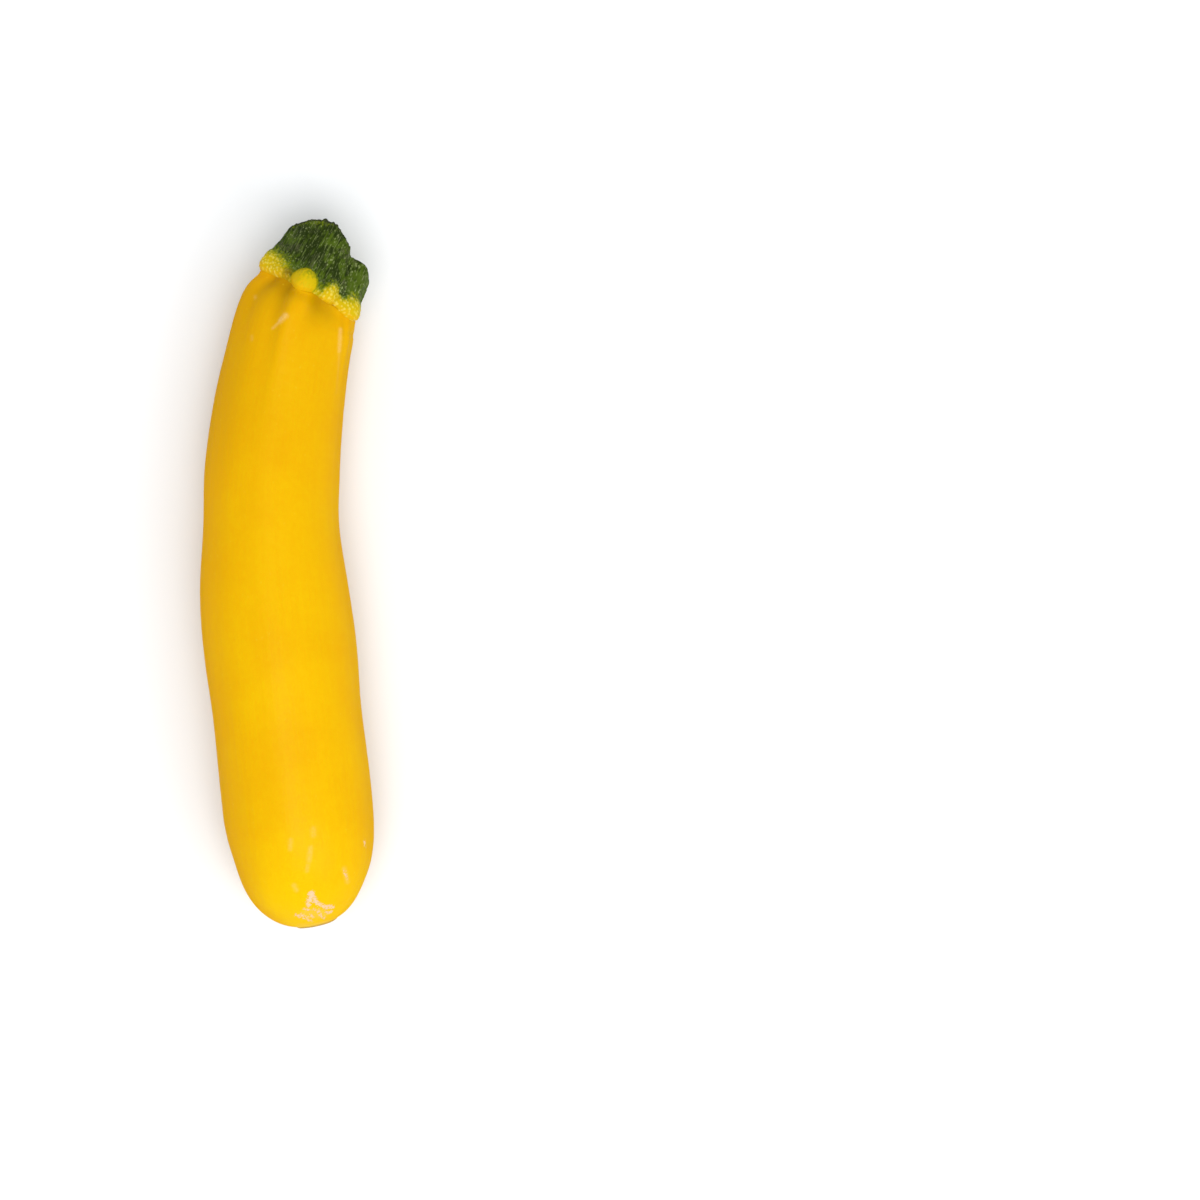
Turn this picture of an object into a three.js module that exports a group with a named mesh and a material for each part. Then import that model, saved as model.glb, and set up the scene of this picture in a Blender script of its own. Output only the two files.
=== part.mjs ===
// A yellow courgette (Cucurbita pepo), as picked: the whole fruit with the stump of its stem, lying on its
// side. Units are millimetres, +Z is up and +Y runs along the fruit towards the stem. The origin is on the
// ground, under the middle of the bounding box.
//
// The fruit and the stem are each a LatheGeometry whose points a formula then moves. Angles are in degrees
// round the middle line of either one: 0 faces up, 90 faces +X and 180 faces the ground.

import * as THREE from "three";
import { mergeVertices } from "three/addons/utils/BufferGeometryUtils.js";

const { clamp, degToRad, lerp, radToDeg } = THREE.MathUtils;

// ---- Driving dimensions -------------------------------------------------------------------------------

// Sections of the fruit from the stem to the blossom end, as [x, y, height of the middle, half width,
// half height].
const FRUIT_SECTIONS = [
  [5.7, 74.6, 17.2, 12.8, 13.1],
  [3.6, 70.6, 17.2, 15.2, 14.8],
  [2.0, 66.3, 17.1, 15.9, 15.6],
  [0.0, 57.5, 17.0, 16.4, 16.2],
  [-2.4, 43.5, 16.9, 17.4, 17.0],
  [-4.0, 27.5, 17.5, 18.0, 17.8],
  [-4.2, 13.0, 18.3, 18.1, 18.6],
  [-3.4, -4.0, 19.0, 19.8, 19.3],
  [-1.7, -21.0, 19.5, 20.4, 19.8],
  [0.2, -38.0, 19.6, 20.0, 19.9],
  [2.2, -55.0, 19.5, 20.0, 19.8],
  [3.6, -71.0, 18.9, 19.9, 19.6],
  [3.6, -83.0, 18.3, 19.7, 19.7],
  [4.8, -94.7, 17.4, 20.3, 19.8],
];

// The blossom end is a superellipse from those sizes down to the tip, a little squarer on the right.
const ROUND_END_SECTIONS = 3;
const ROUND_END_LENGTH = 31.5;
const ROUND_END_POWER = 2;
const ROUND_END_FULLER = { angle: 90, halfWidth: 60, morePower: 0.6 };

// Where the flower was, off to one side of the tip, is a dry scar that is a little sunken.
const SCAR = { across: 3.1, above: -1.7, radius: 4.3, depth: 0.6 };

// Five ribs run down the fruit from the main ridges of its stem, with five faint ones between them.
const MAIN_RIBS = [-66, -4, 62, 132, 208];
const FAINT_RIBS = [-38, 24, 96, 170, 250];
const RIB_HALF_WIDTH = 13;
const RIB_HEIGHT_AT_STEM = 1.5;
const RIB_HEIGHT_ON_BODY = 0.3;
const RIB_FADE = 10; // the distance over which the height at the stem dies away
const FAINT_RIB_SHARE = 0.25;

// Valleys between the ribs run down from the stem, and a few swellings of less than no depth, as [angle, how
// far it turns on its way down, half width, depth, reach down the fruit].
const HOLLOWS = [
  [-44, -10, 9, 0.7, 9],
  [-32, 2, 17, 1.3, 5],
  [-22, 6, 8, 0.8, 12],
  [-3, 0, 8, -0.5, 14],
  [15, 3, 12, 1.4, 6],
  [33, 1, 15, 0.9, 6],
  [85, 0, 30, -0.2, 7],
  [170, 0, 18, 1, 9],
  [250, 4, 20, 1.2, 9],
];
const HOLLOW_TURN_FADE = 6;

// Close to the stem the fruit eases into a neck that is a step smaller than the stem's own outline. It
// stands out further in places, as [angle, half width, how far].
const NECK_LENGTH = 2;
const NECK_STEP = 0.2;
const NECK_FILLS = [
  [70, 25, 0.5],
  [41, 12, 1],
];
// On the right the neck is longer and swells into the shoulder.
const SHOULDER = { angle: 105, halfWidth: 50, down: 2, reach: 1.7, height: 1.1 };
const LONGER_NECK = { angle: 85, halfWidth: 50, by: 0.6 };

// Ridges and grooves of the stem in turn, as [angle, radius at the fruit, radius at the cut].
const STEM_OUTLINE = [
  [-68, 15.2, 13.4],
  [-53, 13.9, 13.5],
  [-38, 13.9, 13.0],
  [-25, 13.2, 12.4],
  [-10, 14.2, 11.8],
  [7, 12.9, 10.2],
  [24, 13.7, 8.9],
  [40, 12.2, 7.1],
  [60, 14.8, 10.9],
  [78, 14.4, 12.0],
  [96, 13.5, 11.8],
  [114, 12.4, 10.0],
  [132, 14.4, 12.4],
  [151, 12.9, 10.4],
  [170, 13.7, 11.4],
  [189, 12.7, 9.9],
  [208, 14.5, 12.4],
  [229, 12.6, 9.6],
  [250, 13.7, 11.6],
  [272, 13.8, 11.8],
];

// The knife cut is slanted: it leaves the stem longer on top than below, and steepens towards the top.
const STEM_LENGTH_BELOW = 5.2;
const STEM_LENGTH_ABOVE = 18.7;
const CUT_HALF_WIDTH = 12.8;
const CUT_CURVE = 1.8; // 1 is a straight cut, and more is hollower
const STEM_BEND = 0.75; // how many degrees the stem turns down over each mm of its length
const STEM_GAP = 0.3; // between the stem and the fruit

// The face between the fruit and the stem leans: it is further up the stem on top than underneath.
const JOINT_RISE = 1.2;
const JOINT_FADE = 8; // the distance down the fruit over which its shape dies away

// Each ridge of the stem starts in a rounded knob, as [angle, half angle, height of its middle, half height,
// bulge, how far it reaches down over the fruit].
const KNOBS = [
  [-60, 27, 2.2, 3.6, 0.8, 0.45],
  [-9, 16.5, 2.1, 2.7, 1.6, 1.25],
  [27, 15, 2.1, 2.5, 1.1, 0.25],
  [60, 22, 1.6, 3, 1.3, 0.9],
  [98, 12, 2.6, 2.6, 0.7, 0.3],
  [132, 18, 2.4, 3.2, 1.1, 1.2],
  [170, 13, 2.2, 2.6, 0.7, 0.2],
  [208, 18, 2.4, 3.2, 1.1, 1.2],
  [250, 14, 2.6, 2.8, 0.8, 0.4],
];

// The stem is fuller on its left between the fruit and the cut.
const STEM_BELLY = { angle: -66, halfWidth: 20, length: 9, height: 0.6 };

const FRUIT_FACES_ROUND = 96;
const STEM_FACES_ROUND = 120;
const RINGS_IN_NECK = 7;
const RINGS_PER_SECTION = 3;
const RINGS_IN_ROUND_END = 11;
const RINGS_UP_STEM = 20;
const RINGS_IN_DISC = 3;

const SKIN = new THREE.MeshStandardMaterial({ color: 0xf5be00, roughness: 0.38, metalness: 0 });
const STEM_RIND = new THREE.MeshStandardMaterial({ color: 0x4a6b1e, roughness: 0.6, metalness: 0 });

// ---- Formulas that both pieces use --------------------------------------------------------------------

// The turn from one angle to another, from -180 to 180.
function turnBetween(from, to) {
  return ((((to - from + 180) % 360) + 360) % 360) - 180;
}

// A bell curve round the turn, 1 high at its own angle.
function bell(at, angle, halfWidth) {
  return Math.exp(-((turnBetween(at, angle) / halfWidth) ** 2));
}

// The face between the fruit and the stem: its distance along, at an angle and a share of the radius.
function jointAt(angle, share) {
  const reach = ([at, halfAngle, , , , drop]) => drop * bell(at, angle, 0.8 * halfAngle);
  const drops = KNOBS.reduce((sum, knob) => sum + reach(knob), 0);
  return JOINT_RISE * share * Math.cos(degToRad(angle)) - drops * share ** 2;
}

// Numbers from 0 to 1 in equal steps, both ends included.
function stepsTo1(steps) {
  return Array.from({ length: steps + 1 }, (_, i) => i / steps);
}

const stemOutlineRadii = new THREE.CubicInterpolant(
  [...STEM_OUTLINE.map(([angle]) => angle), STEM_OUTLINE[0][0] + 360],
  [...STEM_OUTLINE, STEM_OUTLINE[0]].flatMap(([, atFruit, atCut]) => [atFruit, atCut]),
  2,
);
stemOutlineRadii.settings = { endingStart: THREE.WrapAroundEnding, endingEnd: THREE.WrapAroundEnding };

// The stem's radii at an angle: at the fruit and at the cut.
function stemRadii(angle) {
  const first = STEM_OUTLINE[0][0];
  return [...stemOutlineRadii.evaluate(first + ((angle - first + 360) % 360))];
}

// A point round a middle line: at a radius and an angle, and so far along the line.
function pointRound({ middle, side, up, along }, radius, angle, distance) {
  const turn = degToRad(angle);
  return middle
    .clone()
    .addScaledVector(up, radius * Math.cos(turn))
    .addScaledVector(side, radius * Math.sin(turn))
    .addScaledVector(along, distance);
}

// A closed lathe of [share of the radius, place along], whose points move to pointAt(share, place, angle).
function shapedLathe(outline, facesRound, pointAt) {
  const geometry = new THREE.LatheGeometry(
    outline.map(([share, place]) => new THREE.Vector2(share, place)),
    facesRound,
  );
  const position = geometry.getAttribute("position");
  for (let i = 0; i < position.count; i++) {
    const [x, y, z] = [position.getX(i), position.getY(i), position.getZ(i)];
    const point = pointAt(Math.hypot(x, z), y, radToDeg(Math.atan2(x, z)));
    position.setXYZ(i, point.x, point.y, point.z);
  }
  geometry.deleteAttribute("normal");
  geometry.deleteAttribute("uv");
  const closed = mergeVertices(geometry, 1e-4);
  closed.computeVertexNormals();
  return closed;
}

function namedMesh(name, geometry, material) {
  const mesh = new THREE.Mesh(geometry, material);
  mesh.name = name;
  return mesh;
}

// ---- Fruit --------------------------------------------------------------------------------------------

const LAST_SECTION = FRUIT_SECTIONS.length - 1;
const SECTIONS_TO_EACH_SIDE = 0.4; // how far off the directions at a section are measured
const UP = new THREE.Vector3(0, 0, 1);
const sections = new THREE.CubicInterpolant(
  FRUIT_SECTIONS.map((_, number) => number),
  FRUIT_SECTIONS.flat(),
  5,
);

// The fruit at a section number, whole or not: its middle, its half sizes and the directions there, which
// come from a little before and after it so that the bend is even.
function sectionAt(number) {
  const middleAt = (n) => new THREE.Vector3(...sections.evaluate(n).slice(0, 3));
  const before = Math.max(number - SECTIONS_TO_EACH_SIDE, 0);
  const after = Math.min(number + SECTIONS_TO_EACH_SIDE, LAST_SECTION);
  const along = middleAt(before).sub(middleAt(after)).normalize();
  const side = new THREE.Vector3().crossVectors(along, UP).normalize();
  const up = new THREE.Vector3().crossVectors(side, along);
  const [halfWidth, halfHeight] = sections.evaluate(number).slice(3);
  return { middle: middleAt(number), halfWidth, halfHeight, side, up, along };
}

const stemEnd = sectionAt(0);
const blossomTip = sectionAt(LAST_SECTION);

// How much of its radius the fruit keeps at a distance from the tip.
function roundEnd(distance, angle) {
  const { angle: at, halfWidth, morePower } = ROUND_END_FULLER;
  const power = ROUND_END_POWER + morePower * bell(at, angle, halfWidth);
  const inwards = Math.max(1 - distance / ROUND_END_LENGTH, 0);
  return Math.max(1 - inwards ** power, 0) ** (1 / power);
}

// The oval section's radius at an angle.
function ovalRadius({ halfWidth, halfHeight }, angle) {
  const turn = degToRad(angle);
  return (halfWidth * halfHeight) / Math.hypot(halfHeight * Math.sin(turn), halfWidth * Math.cos(turn));
}

// How far the ribs stand out at an angle.
function ribsAt(angle, fromStem) {
  const height = RIB_HEIGHT_ON_BODY + RIB_HEIGHT_AT_STEM * Math.exp(-fromStem / RIB_FADE);
  const ribs = (angles) => angles.reduce((sum, at) => sum + bell(at, angle, RIB_HALF_WIDTH), 0);
  return height * (ribs(MAIN_RIBS) + FAINT_RIB_SHARE * ribs(FAINT_RIBS));
}

// How deep the hollows are at an angle.
function hollowsAt(angle, fromStem) {
  const lean = 1 - Math.exp(-fromStem / HOLLOW_TURN_FADE);
  const depths = HOLLOWS.map(([at, turn, halfWidth, depth, reach]) => {
    return depth * bell(at + turn * lean, angle, halfWidth) * Math.exp(-((fromStem / reach) ** 1.3));
  });
  return depths.reduce((sum, depth) => sum + depth, 0);
}

// The fruit's radius at an angle, before the round end: the body's, easing into the neck's by the stem.
function fruitRadius(section, fromStem, angle) {
  const hollow = hollowsAt(angle, fromStem);
  const body = ovalRadius(section, angle) + ribsAt(angle, fromStem) - hollow;
  const fills = NECK_FILLS.reduce((sum, [at, halfWidth, far]) => sum + far * bell(at, angle, halfWidth), 0);
  const neck = stemRadii(angle)[0] - NECK_STEP + fills - hollow / 2;
  const length = NECK_LENGTH + LONGER_NECK.by * bell(LONGER_NECK.angle, angle, LONGER_NECK.halfWidth);
  const alongShoulder = Math.exp(-(((fromStem - SHOULDER.down) / SHOULDER.reach) ** 2));
  const shoulder = SHOULDER.height * bell(SHOULDER.angle, angle, SHOULDER.halfWidth) * alongShoulder;
  return lerp(body, neck, Math.exp(-((fromStem / length) ** 2))) + shoulder;
}

// How far the scar is sunk at a place round the tip.
function scarAt(radius, angle) {
  const turn = degToRad(angle);
  const away = Math.hypot(radius * Math.sin(turn) - SCAR.across, radius * Math.cos(turn) - SCAR.above);
  return SCAR.depth * Math.exp(-((away / SCAR.radius) ** 4));
}

function fruitPoint(share, place, angle) {
  const section = sectionAt(-place);
  const fromStem = section.middle.distanceTo(stemEnd.middle);
  const fromTip = section.middle.distanceTo(blossomTip.middle);
  const radius = share * fruitRadius(section, fromStem, angle) * roundEnd(fromTip, angle);
  const joint = jointAt(angle, share) * Math.exp(-fromStem / JOINT_FADE);
  const scar = fromTip < ROUND_END_LENGTH ? scarAt(radius, angle) : 0;
  const point = pointRound(section, radius, angle, scar + joint);
  point.z = Math.max(point.z, 0); // the skin is pressed flat where it rests
  return point;
}

// From the tip along the side to the stem end's rim, then across that end to its middle.
function fruitOutline() {
  const roundEndStart = LAST_SECTION - ROUND_END_SECTIONS;
  const tip = stepsTo1(RINGS_IN_ROUND_END).map((step) => {
    return [1, lerp(-LAST_SECTION, -roundEndStart, 1 - Math.cos((step * Math.PI) / 2))];
  });
  const side = stepsTo1((roundEndStart - 1) * RINGS_PER_SECTION).map((step) => {
    return [1, lerp(-roundEndStart, -1, step)];
  });
  const neck = stepsTo1(RINGS_IN_NECK).map((step) => [1, step - 1]);
  const disc = stepsTo1(RINGS_IN_DISC).map((step) => [1 - step, 0]);
  return [[0, -LAST_SECTION], ...[tip, side, neck, disc].flatMap((rings) => rings.slice(1))];
}

// ---- Stem ---------------------------------------------------------------------------------------------

// The stem's middle at a length from the fruit, on an arc that turns down, and the directions there.
function stemAt(length) {
  const { middle, side, up, along } = stemEnd;
  const bendRadius = 1 / degToRad(STEM_BEND);
  const turn = length / bendRadius;
  return {
    middle: middle
      .clone()
      .addScaledVector(along, bendRadius * Math.sin(turn))
      .addScaledVector(up, bendRadius * (Math.cos(turn) - 1)),
    side,
    up: up.clone().multiplyScalar(Math.cos(turn)).addScaledVector(along, Math.sin(turn)),
    along: along.clone().multiplyScalar(Math.cos(turn)).addScaledVector(up, -Math.sin(turn)),
  };
}

// The stem's length up to the cut, at a distance above or below its middle.
function cutLength(above) {
  const across = Math.max((above / CUT_HALF_WIDTH + 1) / 2, 0);
  return lerp(STEM_LENGTH_BELOW, STEM_LENGTH_ABOVE, across ** CUT_CURVE);
}

// How far the knobs stand out at an angle and a length: each is half of an ellipsoid.
function knobsAt(angle, length) {
  const domes = KNOBS.map(([at, halfAngle, middle, halfHeight, bulge]) => {
    const away = Math.hypot(turnBetween(at, angle) / halfAngle, (length - middle) / halfHeight);
    return bulge * Math.sqrt(Math.max(1 - away ** 2, 0));
  });
  return Math.max(...domes);
}

// How far the belly stands out at an angle and a length.
function bellyAt(angle, length) {
  const along = Math.sin(Math.PI * clamp(length / STEM_BELLY.length, 0, 1));
  return STEM_BELLY.height * bell(STEM_BELLY.angle, angle, STEM_BELLY.halfWidth) * along;
}

function stemPoint(share, place, angle) {
  const [atFruit, atCut] = stemRadii(angle);
  const upwards = Math.cos(degToRad(angle));
  const foot = STEM_GAP + jointAt(angle, share);
  const length = lerp(foot, cutLength(atCut * upwards), place);
  const taper = clamp(length / STEM_LENGTH_ABOVE, 0, 1);
  const radius = share * (lerp(atFruit, atCut, taper) + knobsAt(angle, length) + bellyAt(angle, length));
  return pointRound(stemAt(lerp(foot, cutLength(radius * upwards), place)), radius, angle, 0);
}

// From the middle of the foot to its rim, up the side to the cut, then across the cut to its middle.
function stemOutline() {
  const foot = stepsTo1(RINGS_IN_DISC).map((step) => [step, 0]);
  const side = stepsTo1(RINGS_UP_STEM).map((step) => [1, step]);
  const cut = stepsTo1(RINGS_IN_DISC).map((step) => [1 - step, 1]);
  return [...foot, ...side.slice(1), ...cut.slice(1)];
}

// ---- Courgette ----------------------------------------------------------------------------------------

const courgette = new THREE.Group();
courgette.add(namedMesh("fruit", shapedLathe(fruitOutline(), FRUIT_FACES_ROUND, fruitPoint), SKIN));
courgette.add(namedMesh("stem", shapedLathe(stemOutline(), STEM_FACES_ROUND, stemPoint), STEM_RIND));

const bounds = new THREE.Box3().setFromObject(courgette, true);
const middle = bounds.getCenter(new THREE.Vector3());
courgette.position.set(-middle.x, -middle.y, -bounds.min.z);

export default courgette;
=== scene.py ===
"""The looks of a yellow courgette on its side: its skin and the stump of its stem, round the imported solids.

Shapes are worked out in millimetres and put into the meshes in metres. Angles are in degrees round the
middle line of the fruit or the stem: 0 faces up, 90 faces +X and 180 faces the ground.
"""

import logging
import math
from dataclasses import dataclass, field
from enum import Enum

import bpy
import numpy as np
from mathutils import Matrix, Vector
from numpy.typing import NDArray


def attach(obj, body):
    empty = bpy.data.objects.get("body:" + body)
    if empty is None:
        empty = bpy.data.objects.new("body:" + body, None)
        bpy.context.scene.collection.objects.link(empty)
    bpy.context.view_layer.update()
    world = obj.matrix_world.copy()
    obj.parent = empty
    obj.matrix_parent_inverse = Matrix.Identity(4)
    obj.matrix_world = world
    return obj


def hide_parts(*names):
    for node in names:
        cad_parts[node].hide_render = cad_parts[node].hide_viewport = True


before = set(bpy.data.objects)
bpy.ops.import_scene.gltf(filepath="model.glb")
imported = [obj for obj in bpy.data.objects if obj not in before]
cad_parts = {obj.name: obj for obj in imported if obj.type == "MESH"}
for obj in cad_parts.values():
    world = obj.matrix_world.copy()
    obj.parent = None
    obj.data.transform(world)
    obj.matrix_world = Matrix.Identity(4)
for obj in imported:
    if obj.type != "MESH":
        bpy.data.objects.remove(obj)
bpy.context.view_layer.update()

Array = NDArray[np.float64]
Colour = tuple[float, float, float]
Socket = bpy.types.NodeSocket

MM = 0.001
log = logging.getLogger("courgette")


class Layer(Enum):
    """What a mesh carries for its material to read, under these attribute names."""

    STRAIGHT = "straight"
    SCUFF = "scuff"
    # Pale strokes: a scratch, and painted highlights and sheen.
    SMEAR_AND_HIGHLIGHT = "smear_and_highlight"
    SCAR = "scar"
    SCAR_RIM = "scar_rim"
    # Painted shade: the fruit's hollows and its left side by the stem, and the stem between two of its knobs.
    PAINTED_SHADE = "hollow"
    # How lemon the fruit is, with painted shade on its flanks.
    AGE = "age"
    YELLOW = "yellow"
    GRANULE = "granule"
    # Painted light and shade on the stem's rind: lighter on its lit right side, darker on its shaded far
    # left.
    PAINTED_LIGHT_AND_SHADE = "painted_light_and_shade"
    CUT = "cut"
    CUT_SHARE = "cut_share"


# ---- Formulas --------------------------------------------------------------------------------------------


def ease(low: float, high: float, value: Array) -> Array:
    """The smooth step from 0 at low to 1 at high, 3t^2 - 2t^3 with t the share of the way.

    Args:
        low: Where the step starts.
        high: Where the step ends; it may be below low.
        value: Where to read it.

    Returns:
        The step at each value.
    """
    share = np.clip((value - low) / (high - low), 0.0, 1.0)
    return share * share * (3.0 - 2.0 * share)


def turn_between(start: float, angle: Array) -> Array:
    """The turn from one angle to others, from -180 to 180 degrees."""
    return (angle - start + 180.0) % 360.0 - 180.0


def bell(value: Array, centre: float, half_width: float | Array) -> Array:
    """A bell curve, exp(-((value - centre) / half width)^2), 1 high at its centre."""
    return np.exp(-(((value - centre) / half_width) ** 2))


def bells(angle: Array, centres: tuple[float, ...], half_width: float) -> Array:
    """Bell curves round the turn: the sum of exp(-(turn from the centre / half width)^2)."""
    return sum(bell(turn_between(centre, angle), 0.0, half_width) for centre in centres)


def cubic_through(knots: Array, values: Array, at: Array) -> Array:
    """A cubic curve through values: at each knot its slope is the mean of the two straight slopes beside it.

    Args:
        knots: The knots, rising.
        values: One row of values for each knot.
        at: Where to read the curve.

    Returns:
        One row of values for each place.
    """
    straight = np.diff(values, axis=0) / np.diff(knots)[:, None]
    slopes = np.vstack([straight[:1], (straight[:-1] + straight[1:]) / 2.0, straight[-1:]])
    piece = np.clip(np.searchsorted(knots, at, side="right") - 1, 0, len(knots) - 2)
    width = (knots[piece + 1] - knots[piece])[:, None]
    share = (at - knots[piece])[:, None] / width
    start, end = values[piece], values[piece + 1]
    rise = end - start
    out, into = slopes[piece] * width - rise, rise - slopes[piece + 1] * width
    return start + share * rise + share * (1 - share) * (out * (1 - share) + into * share)


def ripples(seed: int, angle: Array, length: Array, most_turns: int, shortest: float) -> Array:
    """Gentle random waves, about 1 high: 24 cosines of whole numbers of waves round, so that they close.

    Args:
        seed: Fixes the random slants and phases.
        angle: Degrees round.
        length: Millimetres along.
        most_turns: The most waves that a cosine has round the turn.
        shortest: The shortest wave along, in millimetres.

    Returns:
        The sum of the cosines at each place.
    """
    chance = np.random.default_rng(seed)
    count = 24
    turns = chance.integers(0, most_turns + 1, count)
    slants = chance.uniform(-1.0, 1.0, count) * 2.0 * math.pi / shortest
    phases = chance.uniform(0.0, 2.0 * math.pi, count)
    total = sum(
        np.cos(np.radians(angle) * turn + length * slant + phase)
        for turn, slant, phase in zip(turns, slants, phases, strict=True)
    )
    return total / math.sqrt(count / 2.0)


def cell_bumps(
    seed: int, across: Array, along: Array, around: int, fill: float, jitter: float = 0.8
) -> Array:
    """Round bumps, one in each unit cell, at a random place and of a random size.

    A bump is 1 - (distance / size)^2 high, and a place has the highest of those in the nine cells round it.

    Args:
        seed: Fixes the random places and sizes.
        across: Cell units round, which repeat after `around` cells.
        along: Cell units along.
        around: How many cells there are in a turn.
        fill: The largest size of a bump, in cells.
        jitter: How far across its cell a bump may stand; little of it puts the bumps in rows.

    Returns:
        Heights from 0 to 1.
    """
    rows = 64
    table = np.random.default_rng(seed).random((rows, around, 3))
    height = np.zeros(np.broadcast_shapes(across.shape, along.shape))
    for step_across in (-1, 0, 1):
        for step_along in (-1, 0, 1):
            column = np.floor(across) + step_across
            row = np.floor(along) + step_along
            chance = table[row.astype(int) % rows, column.astype(int) % around]
            away_across = column + 0.5 + jitter * (chance[..., 0] - 0.5) - across
            away_along = row + 0.1 + 0.8 * chance[..., 1] - along
            size = fill * (0.5 + 0.5 * chance[..., 2])
            height = np.maximum(height, 1.0 - (away_across**2 + away_along**2) / size**2)
    return height


def grid_normals(points: Array) -> Array:
    """Unit normals of a grid of points: the cross product of its differences down the rings and round them.

    Args:
        points: Rings of points, as [ring, place round, xyz]; each ring closes on itself.

    Returns:
        A unit normal for each point.
    """
    along = np.gradient(points, axis=0)
    across = np.roll(points, -1, axis=1) - np.roll(points, 1, axis=1)
    normals = np.cross(along, across)
    return normals / np.maximum(np.linalg.norm(normals, axis=2, keepdims=True), 1e-12)


# ---- Meshes ----------------------------------------------------------------------------------------------


@dataclass(frozen=True)
class Rings:
    """A closed surface: rings of points round a middle line, the first and last of them shrunk to a point."""

    points: Array
    layers: dict[Layer, Array]

    def piece(self, name: str, material: bpy.types.Material) -> bpy.types.Object:
        """Builds the mesh: a fan, then bands of quads between the rings, then another fan.

        Args:
            name: The piece's name.
            material: What dresses it.

        Returns:
            The new object, at the origin, in metres.
        """
        around = self.points.shape[1]
        ring = 1 + np.arange((self.points.shape[0] - 2) * around).reshape(-1, around)
        after = np.roll(ring, -1, axis=1)
        last = ring[-1, -1] + 1
        bands = np.stack([ring[:-1], after[:-1], after[1:], ring[1:]], axis=-1).reshape(-1, 4)
        first_fan = np.stack([np.zeros(around, int), after[0], ring[0]], axis=-1)
        last_fan = np.stack([np.full(around, last), ring[-1], after[-1]], axis=-1)
        mesh = bpy.data.meshes.new(name)
        faces = [*first_fan.tolist(), *bands.tolist(), *last_fan.tolist()]
        mesh.from_pydata((self.flat(self.points) * MM).tolist(), [], faces)
        mesh.polygons.foreach_set("use_smooth", np.ones(len(faces), bool))
        for layer, values in self.layers.items():
            kind, key = ("FLOAT_VECTOR", "vector") if values.ndim == 3 else ("FLOAT", "value")
            data = self.flat(values).astype(np.float32).ravel()
            mesh.attributes.new(layer.value, kind, "POINT").data.foreach_set(key, data)
        mesh.materials.append(material)
        mesh.update()
        piece = bpy.data.objects.new(name, mesh)
        bpy.context.scene.collection.objects.link(piece)
        return piece

    @staticmethod
    def flat(values: Array) -> Array:
        """The values of one end point, of every ring in turn, and of the other end point."""
        inner = values[1:-1].reshape(-1, *values.shape[2:])
        return np.concatenate([values[:1].mean(axis=1), inner, values[-1:].mean(axis=1)])


@dataclass(frozen=True)
class Stations:
    """Places on a middle line, with the directions to the side, up and along there, as rows of xyz."""

    middle: Array
    side: Array
    up: Array
    along: Array

    def point(self, radius: Array, angle: Array, distance: Array) -> Array:
        """Points round each station: so far out at an angle, and so far along.

        Args:
            radius: How far out, as [station, place round].
            angle: Degrees round, for each place round.
            distance: How far along, as [station, place round].

        Returns:
            Points as [station, place round, xyz].
        """
        turn = np.radians(angle)[None, :, None]
        out = self.up[:, None] * np.cos(turn) + self.side[:, None] * np.sin(turn)
        return self.middle[:, None] + out * radius[..., None] + self.along[:, None] * distance[..., None]


# ---- Materials -------------------------------------------------------------------------------------------


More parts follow.
